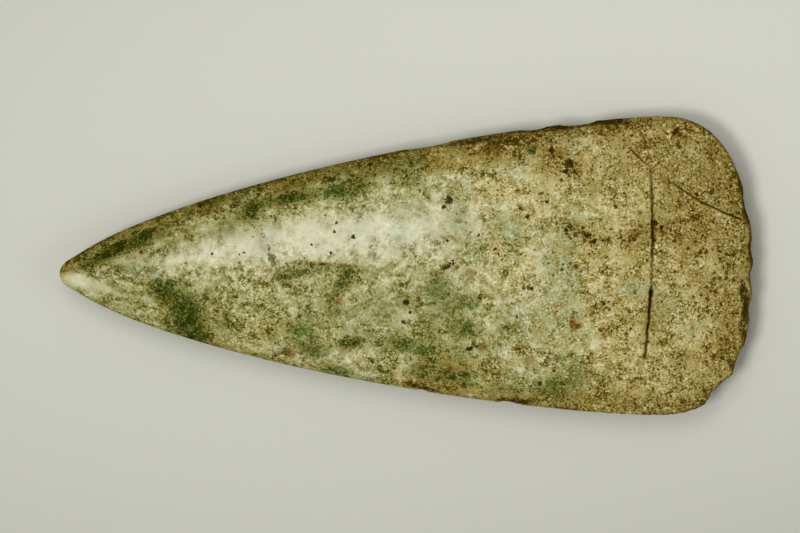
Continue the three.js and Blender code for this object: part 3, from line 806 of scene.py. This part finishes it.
# %% Bent line group
def line_group():
    """A thin arc between two places, seen from above, darkest along its middle."""
    inputs = {"Vector": "NodeSocketVector", "Start": "NodeSocketVector", "End": "NodeSocketVector",
              "Bow": 0.0, "Width": 1.0}
    tree, want, result = new_group("bent_line", "ShaderNodeTree", inputs, "Mask")
    run = vectors(tree, "MULTIPLY", vectors(tree, "SUBTRACT", want["End"], want["Start"]), FLAT)
    reach = vectors(tree, "MULTIPLY", vectors(tree, "SUBTRACT", want["Vector"], want["Start"]), FLAT)
    along = vectors(tree, "NORMALIZE", run)
    across = vectors(tree, "CROSS_PRODUCT", (0.0, 0.0, 1.0), along)
    share = maths(tree, "DIVIDE", vectors(tree, "DOT_PRODUCT", reach, along), vectors(tree, "LENGTH", run))
    off = vectors(tree, "DOT_PRODUCT", reach, across)
    inside = maths(tree, "MULTIPLY", rise(tree, share, 0.0, 0.06), rise(tree, share, 0.94, 1.0, 1.0, 0.0))
    hump = chain(tree, "MULTIPLY", share, maths(tree, "SUBTRACT", 1.0, share), 4.0)
    gap = maths(tree, "ABSOLUTE", maths(tree, "SUBTRACT", off, maths(tree, "MULTIPLY", hump, want["Bow"])))
    half = maths(tree, "MULTIPLY", want["Width"], 0.5)
    mask = maths(tree, "MULTIPLY", rise(tree, maths(tree, "DIVIDE", gap, half), 0.2, 1.0, 1.0, 0.0), inside)
    tree.links.new(mask, result["Mask"])
    return tree


bent_line = line_group()
print("groups:", [group.name for group in bpy.data.node_groups])

# %% [markdown]
# ## Colours of the stone
# Seen closely, the stone's grains differ mostly in how light they are: dark ones are deep and
# rich, light ones are chalky. So each kind of stone has a row of colours from dark to light,
# and one number, the tone, picks from it. Colours are easiest to choose as they look on a
# screen, from 0 to 255, and a renderer mixes light, so each is turned into linear light here.

# %% Palette
def linear(red, green, blue):
    """A colour as it looks on a screen, as linear light with full opacity."""
    shares = [value / 255 for value in (red, green, blue)]
    return [s / 12.92 if s <= 0.04045 else ((s + 0.055) / 1.055) ** 2.4 for s in shares] + [1.0]


POLISHED_TONES = [linear(58, 56, 8), linear(98, 95, 36), linear(131, 127, 67), linear(160, 156, 103),
                  linear(188, 184, 141), linear(211, 209, 176)]
WEATHERED_TONES = [linear(64, 46, 2), linear(102, 83, 24), linear(138, 120, 56), linear(168, 153, 92),
                   linear(196, 183, 130), linear(220, 211, 172)]
GREEN_TONES = [linear(34, 42, 2), linear(58, 68, 16), linear(90, 99, 44), linear(124, 131, 78),
               linear(160, 166, 120), linear(194, 198, 160)]
SPECK_BROWN = linear(68, 47, 2)
# Brown of the dirt in pits and spots, and of the painted shade of the chip scars
PIT_DIRT_AND_SHADE_BROWN = linear(50, 34, 0)
RUST_BROWN = linear(126, 76, 24)
# Browns of the lines: dirt, and along the rim of the blade half also painted shade of the edge face
LINE_DIRT_AND_SHADE_BROWN = linear(34, 18, 0)
LINE_DIRT_AND_SHADE_OCHRE = linear(100, 72, 2)
print("palette ready")

# %% [markdown]
# ## The single marks
# A few black pits are easy to recognise, so each has a place of its own. The groove, the
# crack that runs from the upper side to the cutting edge, and a short streak above the groove
# are arcs between two ends. How dark and how wide they are changes along them.

# %% Places of the marks
# Each row: x, y, radius
BLACK_PITS = [
    (112.6, 19.5, 1.1), (111, 17.6, 0.6), (44.5, 5.2, 0.4), (85, 9.4, 0.6), (78.5, 5, 0.4), (73, 7.4, 0.35),
    (80.2, 13.6, 0.4), (79.6, 11, 0.4), (121, 9.5, 0.5), (135, 14.6, 0.6), (140.6, 18.8, 0.5),
    (99.8, -9.4, 0.9), (101, -12.4, 0.5), (99, -15.2, 0.7), (118, -23, 0.7), (131.5, -14, 0.4),
    (138, -33.5, 0.6), (136, -6, 0.5), (125.6, 5.4, 0.45), (126.6, 4, 0.45), (127.4, 2.2, 0.35),
    (112, 8, 0.4), (178.2, 38.6, 0.8), (24, 6, 0.5), (41, 19.2, 0.8), (90, 30.4, 0.7), (146, 27.5, 0.8),
    (147.4, 29.8, 1.2), (148.8, 27.4, 0.7), (142.4, 33.4, 0.8), (152, 9, 0.9), (154, 7.4, 0.7),
    (171.6, 12.3, 0.9), (173.4, 11, 0.6), (146, 10.4, 0.7), (163.4, 20, 0.4), (184, 20.4, 0.5),
    (156.4, -10.6, 0.5),
]
PIT_SPREAD = 1.1
GROOVE_AT = 0.8545 * LENGTH
GROOVE_BOW = 0.0145 * LENGTH
GROOVE_BOW_CENTRE = 0.35
GROOVE_START = 0.69
GROOVE_END = -0.68


def groove_x(share):
    """Place of the groove along the length, at a share of the half width."""
    return GROOVE_AT - GROOVE_BOW * (share - GROOVE_BOW_CENTRE) ** 2


def line_ends(start, end, bow):
    """The two ends of a flat arc in millimetres, and the bend that a smooth curve needs."""
    start, end = np.array([*start, 0.0]), np.array([*end, 0.0])
    along = (end - start) / np.linalg.norm(end - start)
    across = np.array([-along[1], along[0], 0.0])
    return start, end, (start + end) / 2 + 2 * bow * across


groove_line = {
    "start": (groove_x(GROOVE_START), GROOVE_START * HALF_WIDTH),
    "end": (groove_x(GROOVE_END), GROOVE_END * HALF_WIDTH),
    "bow": GROOVE_BOW * ((GROOVE_START - GROOVE_END) / 2) ** 2,
}
crack_line = {"start": (163.4, 35.4), "end": (198.6, 12.4), "bow": -2.6}
streak_line = {"start": (167.6, 39.6), "end": (170.4, 31.0), "bow": 0.4}
# Each row: y on the groove or x on the crack, and the dark there as a share or the width in millimetres
GROOVE_DARK = [(-30, 0.6), (-26, 0.9), (-14, 0.98), (-7, 1.0), (-5.2, 0.75), (1, 0.75), (8, 1.0),
               (14, 0.95), (22, 0.8), (30, 0.55)]
GROOVE_WIDE = [(-30, 1.0), (-24, 1.3), (-13, 1.6), (-10, 1.9), (-8.4, 2.7), (-6.8, 1.9), (-5.4, 1.2),
               (9, 1.7), (16, 1.5), (30, 1.1)]
CRACK_DARK = [(163, 0.5), (167, 0.85), (170, 0.6), (172, 0.25), (174, 0.4), (179, 0.85), (199, 1.0)]
print("groove from", np.round(groove_line["start"], 1), "to", np.round(groove_line["end"], 1))

# %% [markdown]
# ## The stone's material
# The order is the order of the real stone: crystals of five sizes set the tone, green and sage clouds, pale
# clouds and soil stains shift it and change the row of colours, and specks, rust, dirt and the lines come
# last. A painted sheen on the butt lightens the tone too, and the dark of the scars and of the blade half's
# rim carries painted shade with its dirt. The butt keeps its polish, a thin smooth coat that shows on the
# light grains, and the cutting half has lost it, so the coat fades and the grains lie rough.

# %% Material helpers
FAR_AWAY = 9.0


def blend(tree, share, under, over):
    """One colour over another by a share."""
    node = add(tree, "ShaderNodeMix", {0: share, 6: under, 7: over}, data_type="RGBA")
    return node.outputs[2]


def run_of_colours(tree, tone, colours):
    """The colour for a tone, from a row of colours that runs from dark to light."""
    node = add(tree, "ShaderNodeValToRGB", {0: tone})
    elements = node.color_ramp.elements
    last = len(colours) - 1
    for i in range(1, last):
        elements.new(i / last)
    for element, colour in zip(elements, colours):
        element.color = colour
    return node.outputs[0]


def share_along(tree, value, rows):
    """A share that changes along a line, from rows of place and share."""
    places, shares = zip(*rows)
    node = add(tree, "ShaderNodeMapRange", {0: value, 1: places[0], 2: places[-1]})
    curve = add(tree, "ShaderNodeValToRGB", {0: node.outputs[0]})
    elements = curve.color_ramp.elements
    span = places[-1] - places[0]
    for place in places[1:-1]:
        elements.new((place - places[0]) / span)
    for element, share in zip(elements, shares):
        element.color = (share, share, share, 1.0)
    return curve.outputs[0]


def group(tree, node_tree, output, **inputs):
    """One output of a node group with its inputs filled or linked, by name."""
    names = {name.replace("_", " ").title(): value for name, value in inputs.items()}
    node = add(tree, "ShaderNodeGroup", node_tree=node_tree)
    for name, value in names.items():
        if isinstance(value, bpy.types.NodeSocket):
            tree.links.new(value, node.inputs[name])
        else:
            node.inputs[name].default_value = value
    return node.outputs[output]


def grains_of(tree, place, sizes):
    """Grains of several sizes, in millimetres."""
    return [group(tree, stone_grain, "Grain", vector=place, grain_size=size) for size in sizes]


def ragged(tree, stain, grain, raggedness, threshold, softness):
    """A soft stain, broken up into grains."""
    return group(tree, ragged_stain, "Mask", field=stain, grain=grain, raggedness=raggedness,
                 threshold=threshold, softness=softness)


def drawn(tree, place, line, width):
    """A thin arc across the stone."""
    return group(tree, bent_line, "Mask", vector=place, start=(*line["start"], 0.0),
                 end=(*line["end"], 0.0), bow=line["bow"], width=width)


def weighted(tree, terms, start=0.0):
    """A sum of numbers, each with its own weight."""
    total = start
    for value, weight in terms:
        total = maths(tree, "MULTIPLY_ADD", value, weight, total)
    return total


def black_spots(tree, place, grain):
    """The named pits as ragged dark spots."""
    flat = vectors(tree, "MULTIPLY", place, FLAT)
    nearest = FAR_AWAY
    for x, y, radius in BLACK_PITS:
        gap = vectors(tree, "DISTANCE", flat, (x, y, 0.0))
        nearest = maths(tree, "MINIMUM", nearest, maths(tree, "DIVIDE", gap, radius * PIT_SPREAD))
    uneven = maths(tree, "MULTIPLY_ADD", grain, 0.7, maths(tree, "SUBTRACT", nearest, 0.35))
    return rise(tree, uneven, 0.6, 1.15, 1.0, 0.0)


print("helpers ready")

# %% Recipes of the colour
GRAIN_SIZES = (0.55, 1.1, 2.3, 5.0, 11.0)
HUE_SIZES = (4.0, 11.0)
HUE_SHIFT = (31.0, 17.0, 9.0)
WARM_BLADE_RUN = (142.0, 165.0)
# Where the rim's dirt and painted shade begin along the length
DIRT_AND_SHADE_RIM_RUN = (160.0, 185.0)
LINE_SWAY = 1.1
STREAK_WIDTH = 1.1
STREAK_DARK = 0.45
RUST_SHARE = 0.6
DIRT_AND_SHADE_SHARE = 0.96
BUMP_HEIGHT = 0.0003


def jadeite_colour(tree, place, stain, grain):
    """The stone's own colour, from its grains and stains."""
    fine, crystal, blot, patch, cloud = grain
    clouds = weighted(tree, [(fine, 0.1), (crystal, 0.3), (blot, 0.3), (patch, 0.3)])
    clumps = weighted(tree, [(fine, 0.1), (crystal, 0.25), (blot, 0.4), (patch, 0.25)])
    green_mask = ragged(tree, stain["green"], clumps, 3.4, 0.62, 0.16)
    soil_mask = ragged(tree, stain["brown"], clouds, 2.4, 0.5, 0.35)
    sage_mask = ragged(tree, stain["sage"], clouds, 2.0, 0.48, 0.35)
    hue_place = vectors(tree, "ADD", place, HUE_SHIFT)
    hue_small, hue_large = grains_of(tree, hue_place, HUE_SIZES)
    faint_green = rise(tree, weighted(tree, [(hue_small, 0.5), (hue_large, 0.5)]), 0.55, 0.85, 0.0, 0.42)
    faint_green = maths(tree, "MAXIMUM", faint_green, maths(tree, "MULTIPLY", sage_mask, 0.8))
    free_of_soil = maths(tree, "MULTIPLY_ADD", stain["brown"], -0.8, 1.0, clamp=True)
    faint_green = maths(tree, "MULTIPLY", faint_green, free_of_soil)

    grains = weighted(tree, [(fine, 0.56), (crystal, 0.48), (blot, 0.26)], -0.65)
    grit = maths(tree, "MULTIPLY", maths(tree, "SUBTRACT", fine, 0.5), stain["weathered"])
    # Grain contrast drops under the polish and under the pale field, which holds the painted sheen of the
    # butt
    contrast = weighted(tree, [(patch, -0.8), (cloud, -0.4), (stain["polish"], -0.6), (stain["pale"], -0.25),
                               (stain["brown"], 0.25), (green_mask, 0.15), (stain["weathered"], -0.15)], 1.47)
    grains = maths(tree, "MULTIPLY", maths(tree, "MULTIPLY_ADD", grit, 0.26, grains), contrast)
    clouding = weighted(tree, [(blot, 0.3), (patch, 0.48), (cloud, 0.26)], -0.52)
    calm = weighted(tree, [(stain["polish"], -0.35), (stain["weathered"], -0.2)], 1.0)
    mottling = maths(tree, "MULTIPLY_ADD", clouding, calm, grains)
    # The pale field lightens the tone: pale clouds, and the painted sheen and painted highlight of the butt
    tone = weighted(tree, [(mottling, 1.0), (stain["pale"], 0.25), (green_mask, -0.37), (soil_mask, -0.2),
                           (stain["dusk"], -0.205), (stain["weathered"], 0.035)], 0.52)
    warmth = weighted(tree, [(stain["weathered"], 0.6), (soil_mask, 0.6), (stain["brown"], 0.6),
                             (hue_small, -0.7), (hue_large, -0.5)], 0.5)
    along = add(tree, "ShaderNodeSeparateXYZ", {0: place}).outputs["X"]
    warmth = maths(tree, "ADD", warmth, rise(tree, along, *WARM_BLADE_RUN, 0.0, 0.25))
    colour = blend(tree, rise(tree, warmth, 0.0, 0.9), run_of_colours(tree, tone, POLISHED_TONES),
                   run_of_colours(tree, tone, WEATHERED_TONES))
    greenness = maths(tree, "MAXIMUM", green_mask, faint_green)
    return blend(tree, greenness, colour, run_of_colours(tree, tone, GREEN_TONES))


def speck_mask(tree, place, stain, grain):
    """Small specks nearly everywhere and big ones where they swarm."""
    patch = grain[3]
    few = weighted(tree, [(stain["weathered"], 0.1), (stain["brown"], 0.25), (stain["pitted"], 0.1),
                          (patch, -0.2), (stain["swarm"], 0.4)], 0.1)
    some = weighted(tree, [(stain["brown"], 0.1), (stain["pitted"], 0.04), (patch, -0.12),
                           (stain["swarm"], 1.0)], 0.015)
    small, big = (group(tree, scattered_specks, "Mask", vector=place, spacing=spacing, radius=radius,
                        share=share, other_face_above=float(MIDDLE))
                  for spacing, radius, share in ((1.3, 0.42, few), (1.9, 0.9, some)))
    return maths(tree, "MAXIMUM", small, big)


def line_mask(tree, place, stain, grain):
    """The dark of the groove, the crack and the streak, and of the blade half's rim, which is dirt and
    painted shade of its narrow edge face.
    """
    crystal, blot = grain[1:3]
    parts = add(tree, "ShaderNodeSeparateXYZ", {0: place}).outputs
    warp = add(tree, "ShaderNodeTexNoise", {"Vector": place, "Scale": 0.35, "Detail": 2.0}).outputs["Color"]
    sway = vectors(tree, "SUBTRACT", warp, HALF_GREY)
    swayed = vectors(tree, "MULTIPLY_ADD", sway, (LINE_SWAY, LINE_SWAY, 0.0), place)
    groove_width = maths(tree, "MULTIPLY", maths(tree, "MULTIPLY_ADD", crystal, 0.9, 0.55),
                         share_along(tree, parts["Y"], GROOVE_WIDE))
    groove = maths(tree, "MULTIPLY", drawn(tree, swayed, groove_line, groove_width),
                   share_along(tree, parts["Y"], GROOVE_DARK))
    crack_width = maths(tree, "MULTIPLY_ADD", crystal, 1.0, 0.6)
    crack = maths(tree, "MULTIPLY", drawn(tree, swayed, crack_line, crack_width),
                  share_along(tree, parts["X"], CRACK_DARK))
    streak = maths(tree, "MULTIPLY", drawn(tree, swayed, streak_line, STREAK_WIDTH), STREAK_DARK)
    # Rim of the blade half: dirt and painted shade of its narrow edge face
    rim = chain(tree, "MULTIPLY", rise(tree, stain["edge_distance"], 0.3, 1.3, 0.7, 0.0),
                rise(tree, blot, 0.15, 0.55, 0.35, 1.0), rise(tree, parts["X"], *DIRT_AND_SHADE_RIM_RUN))
    return chain(tree, "MAXIMUM", groove, crack, streak, rim)


print("recipes ready for grains of", GRAIN_SIZES, "mm")

# %% Jadeite material
def jadeite_material():
    """The whole stone: its colour, the marks on it, its polish and its roughness."""
    material = bpy.data.materials.new("mottled_jadeite")
    material.use_nodes = True
    tree = material.node_tree
    tree.nodes.clear()
    coordinates = add(tree, "ShaderNodeTexCoord").outputs["Object"]
    place = add(tree, "ShaderNodeMapping", {"Vector": coordinates, "Scale": (1 / MM,) * 3,
                                            "Location": (-float(low[0]), 0.0, 0.0)}).outputs[0]
    stain = {name: add(tree, "ShaderNodeAttribute", attribute_name=name).outputs["Fac"]
             for name in (*FIELDS, "hollow")}
    grain = grains_of(tree, place, GRAIN_SIZES)
    fine, crystal = grain[:2]

    colour = jadeite_colour(tree, place, stain, grain)
    specks = speck_mask(tree, place, stain, grain)
    speck_dark = maths(tree, "MULTIPLY", specks, maths(tree, "MULTIPLY_ADD", fine, 0.5, 0.6), clamp=True)
    colour = blend(tree, speck_dark, colour, SPECK_BROWN)
    crumbs = weighted(tree, [(fine, 0.5), (crystal, 0.5)])
    rust_mask = ragged(tree, stain["rust"], crumbs, 1.8, 0.55, 0.25)
    colour = blend(tree, maths(tree, "MULTIPLY", rust_mask, RUST_SHARE), colour, RUST_BROWN)
    # Scars: dirt and painted shade of the chip hollows
    scar_dirt_and_shade_mask = ragged(tree, stain["scar"], crumbs, 2.2, 0.42, 0.12)
    spots = maths(tree, "MAXIMUM", black_spots(tree, place, fine), scar_dirt_and_shade_mask)
    # Dirt of the pits and spots, together with the painted shade of the scars
    dirt = maths(tree, "MAXIMUM", rise(tree, stain["hollow"], 0.3, 1.0, 0.0, 0.45), spots)
    colour = blend(tree, maths(tree, "MULTIPLY", dirt, DIRT_AND_SHADE_SHARE), colour, PIT_DIRT_AND_SHADE_BROWN)
    lines = line_mask(tree, place, stain, grain)
    colour = blend(tree, lines, colour, blend(tree, lines, LINE_DIRT_AND_SHADE_OCHRE, LINE_DIRT_AND_SHADE_BROWN))

    roughness = weighted(tree, [(stain["weathered"], 0.15), (crystal, 0.12), (specks, 0.1)], 0.6)
    worn_off = weighted(tree, [(stain["weathered"], 0.55), (crystal, 0.12), (specks, 0.5), (spots, 0.6)])
    lightness = add(tree, "ShaderNodeRGBToBW", {0: colour}).outputs[0]
    coat = chain(tree, "MULTIPLY", maths(tree, "MULTIPLY_ADD", stain["polish"], 0.93, 0.07),
                 rise(tree, worn_off, 0.05, 0.75, 1.0, 0.0), rise(tree, lightness, 0.08, 0.34, 0.1, 1.0))
    relief = maths(tree, "MULTIPLY", weighted(tree, [(fine, 0.5), (crystal, 0.3), (specks, -0.5)]),
                   maths(tree, "MULTIPLY_ADD", stain["weathered"], 0.85, 0.15))
    relief = maths(tree, "SUBTRACT", relief, maths(tree, "MULTIPLY", spots, 0.8))
    bump = add(tree, "ShaderNodeBump", {"Strength": 0.7, "Distance": BUMP_HEIGHT,
                                        "Height": relief}).outputs[0]
    surface = add(tree, "ShaderNodeBsdfPrincipled", {
        "Base Color": colour, "Roughness": roughness, "IOR": 1.5, "Specular IOR Level": 0.0,
        "Coat Weight": coat, "Coat Roughness": 0.28, "Coat IOR": 1.8, "Normal": bump})
    output = add(tree, "ShaderNodeOutputMaterial")
    tree.links.new(surface.outputs[0], output.inputs["Surface"])
    return material


jadeite = jadeite_material()
print(len(jadeite.node_tree.nodes), "nodes in the stone's material")

# %% [markdown]
# ## Wearing the skin
# The skin gets the wear tree as a modifier. Each input is set by its socket's identifier. The
# finished mesh is then read off the evaluated object, so that the piece is a plain mesh, and
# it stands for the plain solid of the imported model.

# %% The finished stone
def wear(skin, tree, values):
    """A plain mesh of the skin with a tree of wear applied."""
    carrier = bpy.data.objects.new("skin_with_wear", skin)
    bpy.context.scene.collection.objects.link(carrier)
    modifier = carrier.modifiers.new("wear", "NODES")
    modifier.node_group = tree
    for item in tree.interface.items_tree:
        if item.in_out == "INPUT" and item.name in values:
            modifier[item.identifier] = values[item.name]
    evaluated = carrier.evaluated_get(bpy.context.evaluated_depsgraph_get())
    worn = bpy.data.meshes.new_from_object(evaluated)
    carrier.modifiers.remove(modifier)
    bpy.data.objects.remove(carrier)
    return worn


def on_table_plane(place):
    """A place in millimetres from the butt point, as metres in the frame."""
    return [float((place[0] + low[0]) * MM), float(place[1] * MM), 0.0]


line_places = {}
for title, line in (("Groove", groove_line), ("Crack", crack_line)):
    start, end, bend = line_ends(line["start"], line["end"], line["bow"])
    line_places |= {f"{title} Start": on_table_plane(start), f"{title} End": on_table_plane(end),
                    f"{title} Bend": on_table_plane(bend)}
wear_values = {name: value for name, value in WEAR.items() if not isinstance(value, str)}
wear_values |= {"Material": jadeite} | line_places
stone_mesh = wear(skin_mesh, stone_wear, wear_values)
stone_mesh.name = "polished_stone"
stone = bpy.data.objects.new("polished_stone", stone_mesh)
bpy.context.scene.collection.objects.link(stone)
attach(stone, "root")
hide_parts("axe_head")
stone_mesh.calc_loop_triangles()
print("the stone has", len(stone_mesh.loop_triangles), "triangles")

# %% [markdown]
# ## The table
# The stone lies on a plain pale grey sheet. It is not part of the object, so it is only a wide flat square
# with a soft, faintly warm grey. A painted fall-off of light darkens that grey towards the corners of the
# view and tilts it across the view.

# %% Table
TABLE_HALF = 1.5
PAPER_GREY = linear(202, 202, 192)[:3]
PAPER_LIGHT = 0.97
FIBRE_SCALE = 1600.0
FIBRE_CONTRAST = 0.06
# Half the view, and the limits of the light fall-off painted into the paper's grey
VIEW_HALF = (0.115, 0.077)
DARKEST_PAINTED_CORNER = -0.2
STEEPEST_PAINTED_SLOPE = 0.1
table_mesh = bpy.data.meshes.new("table_top")
corners = [(-TABLE_HALF, -TABLE_HALF, 0), (TABLE_HALF, -TABLE_HALF, 0), (TABLE_HALF, TABLE_HALF, 0),
           (-TABLE_HALF, TABLE_HALF, 0)]
table_mesh.from_pydata(corners, [], [(0, 1, 2, 3)])
table_top = bpy.data.objects.new("table_top", table_mesh)
bpy.context.scene.collection.objects.link(table_top)


def paper_material():
    """Pale paper with a painted fall-off of light: its grey darkens a little towards the corners of the view
    and slopes across it.
    """
    material = bpy.data.materials.new("paper_with_painted_falloff")
    material.use_nodes = True
    tree = material.node_tree
    surface = tree.nodes["Principled BSDF"]
    coordinates = add(tree, "ShaderNodeTexCoord").outputs["Object"]
    fibre = add(tree, "ShaderNodeTexNoise", {"Vector": coordinates, "Scale": FIBRE_SCALE, "Detail": 2.0})
    parts = add(tree, "ShaderNodeSeparateXYZ", {0: coordinates}).outputs
    across, upward = (maths(tree, "DIVIDE", parts[axis], half) for axis, half in zip("XY", VIEW_HALF))
    # Painted light fall-off: darker towards the corners of the view, and a slope of light across it
    corner = weighted(tree, [(maths(tree, "MULTIPLY", across, upward), 0.03),
                             (maths(tree, "MULTIPLY", across, across), -0.04),
                             (maths(tree, "MULTIPLY", upward, upward), -0.066)])
    corner = maths(tree, "MAXIMUM", corner, DARKEST_PAINTED_CORNER)
    slope = maths(tree, "MAXIMUM", weighted(tree, [(across, 0.03), (upward, 0.064)]), -STEEPEST_PAINTED_SLOPE)
    slope = maths(tree, "MINIMUM", slope, STEEPEST_PAINTED_SLOPE)
    grey = weighted(tree, [(fibre.outputs[0], FIBRE_CONTRAST), (corner, 1.0), (slope, 1.0)], PAPER_LIGHT)
    tree.links.new(vectors(tree, "SCALE", PAPER_GREY, scale=grey), surface.inputs["Base Color"])
    surface.inputs["Roughness"].default_value = 0.9
    surface.inputs["Specular IOR Level"].default_value = 0.1
    return material


table_mesh.materials.append(paper_material())
print("table ready")

# %% [markdown]
# ## The light
# A soft lamp stands far off to the left and a little below, high up, and throws the short shadow to the upper
# right. A white sheet overhead, just beyond the ridge, shows in the polish as part of the long pale sheen on
# the butt. The rest of that sheen, and the highlight at the butt point, are painted into the stone's colour.
# A weak wide lamp from the right and a weak grey world fill the shadows.

# %% Lamps
def lamp(name, towards, distance, size, power):
    """A soft rectangular lamp that faces the stone from a direction."""
    data = bpy.data.lights.new(name, "AREA")
    data.shape = "RECTANGLE"
    data.size, data.size_y = size
    data.energy = power
    direction = Vector(towards).normalized()
    body = bpy.data.objects.new(name, data)
    body.location = direction * distance
    tilt = -math.asin(direction.y)
    body.rotation_euler = (tilt, math.asin(direction.x / math.cos(tilt)), 0)
    bpy.context.scene.collection.objects.link(body)


KEY_TURN = math.radians(206)
KEY_LIFT = math.radians(66.5)
key_direction = (math.cos(KEY_LIFT) * math.cos(KEY_TURN), math.cos(KEY_LIFT) * math.sin(KEY_TURN),
                 math.sin(KEY_LIFT))
# Each lamp: the direction towards it, its distance, its two sides and its power
LAMPS = {
    "left_lamp": (key_direction, 4.0, (1.0, 1.0), 72.0),
    "right_fill": ((0.66, -0.12, 0.7), 4.0, (2.0, 2.0), 12.5),
    "overhead_sheet": ((-0.16, 0.28, 0.947), 0.9, (0.34, 0.43), 1.9),
}
for name, plan in LAMPS.items():
    lamp(name, *plan)
world = bpy.data.worlds.new("studio")
world.use_nodes = True
sky = world.node_tree.nodes["Background"].inputs
sky["Color"].default_value = (1.0, 1.0, 0.98, 1.0)
sky["Strength"].default_value = 0.4
bpy.context.scene.world = world
bpy.context.scene.view_settings.view_transform = "Standard"
print(len(LAMPS), "lamps and a grey world")

# %% [markdown]
# ## The camera
# The photograph looks straight down with a long lens. It shows 800 by 533 pixels, and the
# stone's length crosses 693 of them, turned by less than a degree. The camera hangs at the
# height from which the outline has that size, over the place at the middle of the picture.

# %% Camera
PICTURE_WIDTH = 800
PICTURE_HEIGHT = 533
BUTT_PIXEL = (59.5, 273.95)
LENGTH_PIXELS = 693.2
AXIS_RISE = 0.0139
LENS = 200.0
camera_data = bpy.data.cameras.new("camera")
camera_data.lens = LENS
roll = math.atan(AXIS_RISE)
pixel = LENGTH / LENGTH_PIXELS * MM
right = (PICTURE_WIDTH / 2 - BUTT_PIXEL[0]) * pixel
up = (BUTT_PIXEL[1] - PICTURE_HEIGHT / 2) * pixel
view_x = low[0] * MM + right * math.cos(roll) + up * math.sin(roll)
view_y = up * math.cos(roll) - right * math.sin(roll)
view_height = PICTURE_WIDTH * pixel * LENS / camera_data.sensor_width
camera = bpy.data.objects.new("camera", camera_data)
camera.location = (view_x, view_y, MIDDLE * MM + view_height)
camera.rotation_euler = (0, 0, -roll)
bpy.context.scene.collection.objects.link(camera)
bpy.context.scene.camera = camera
print("camera at", [round(value, 4) for value in camera.location])
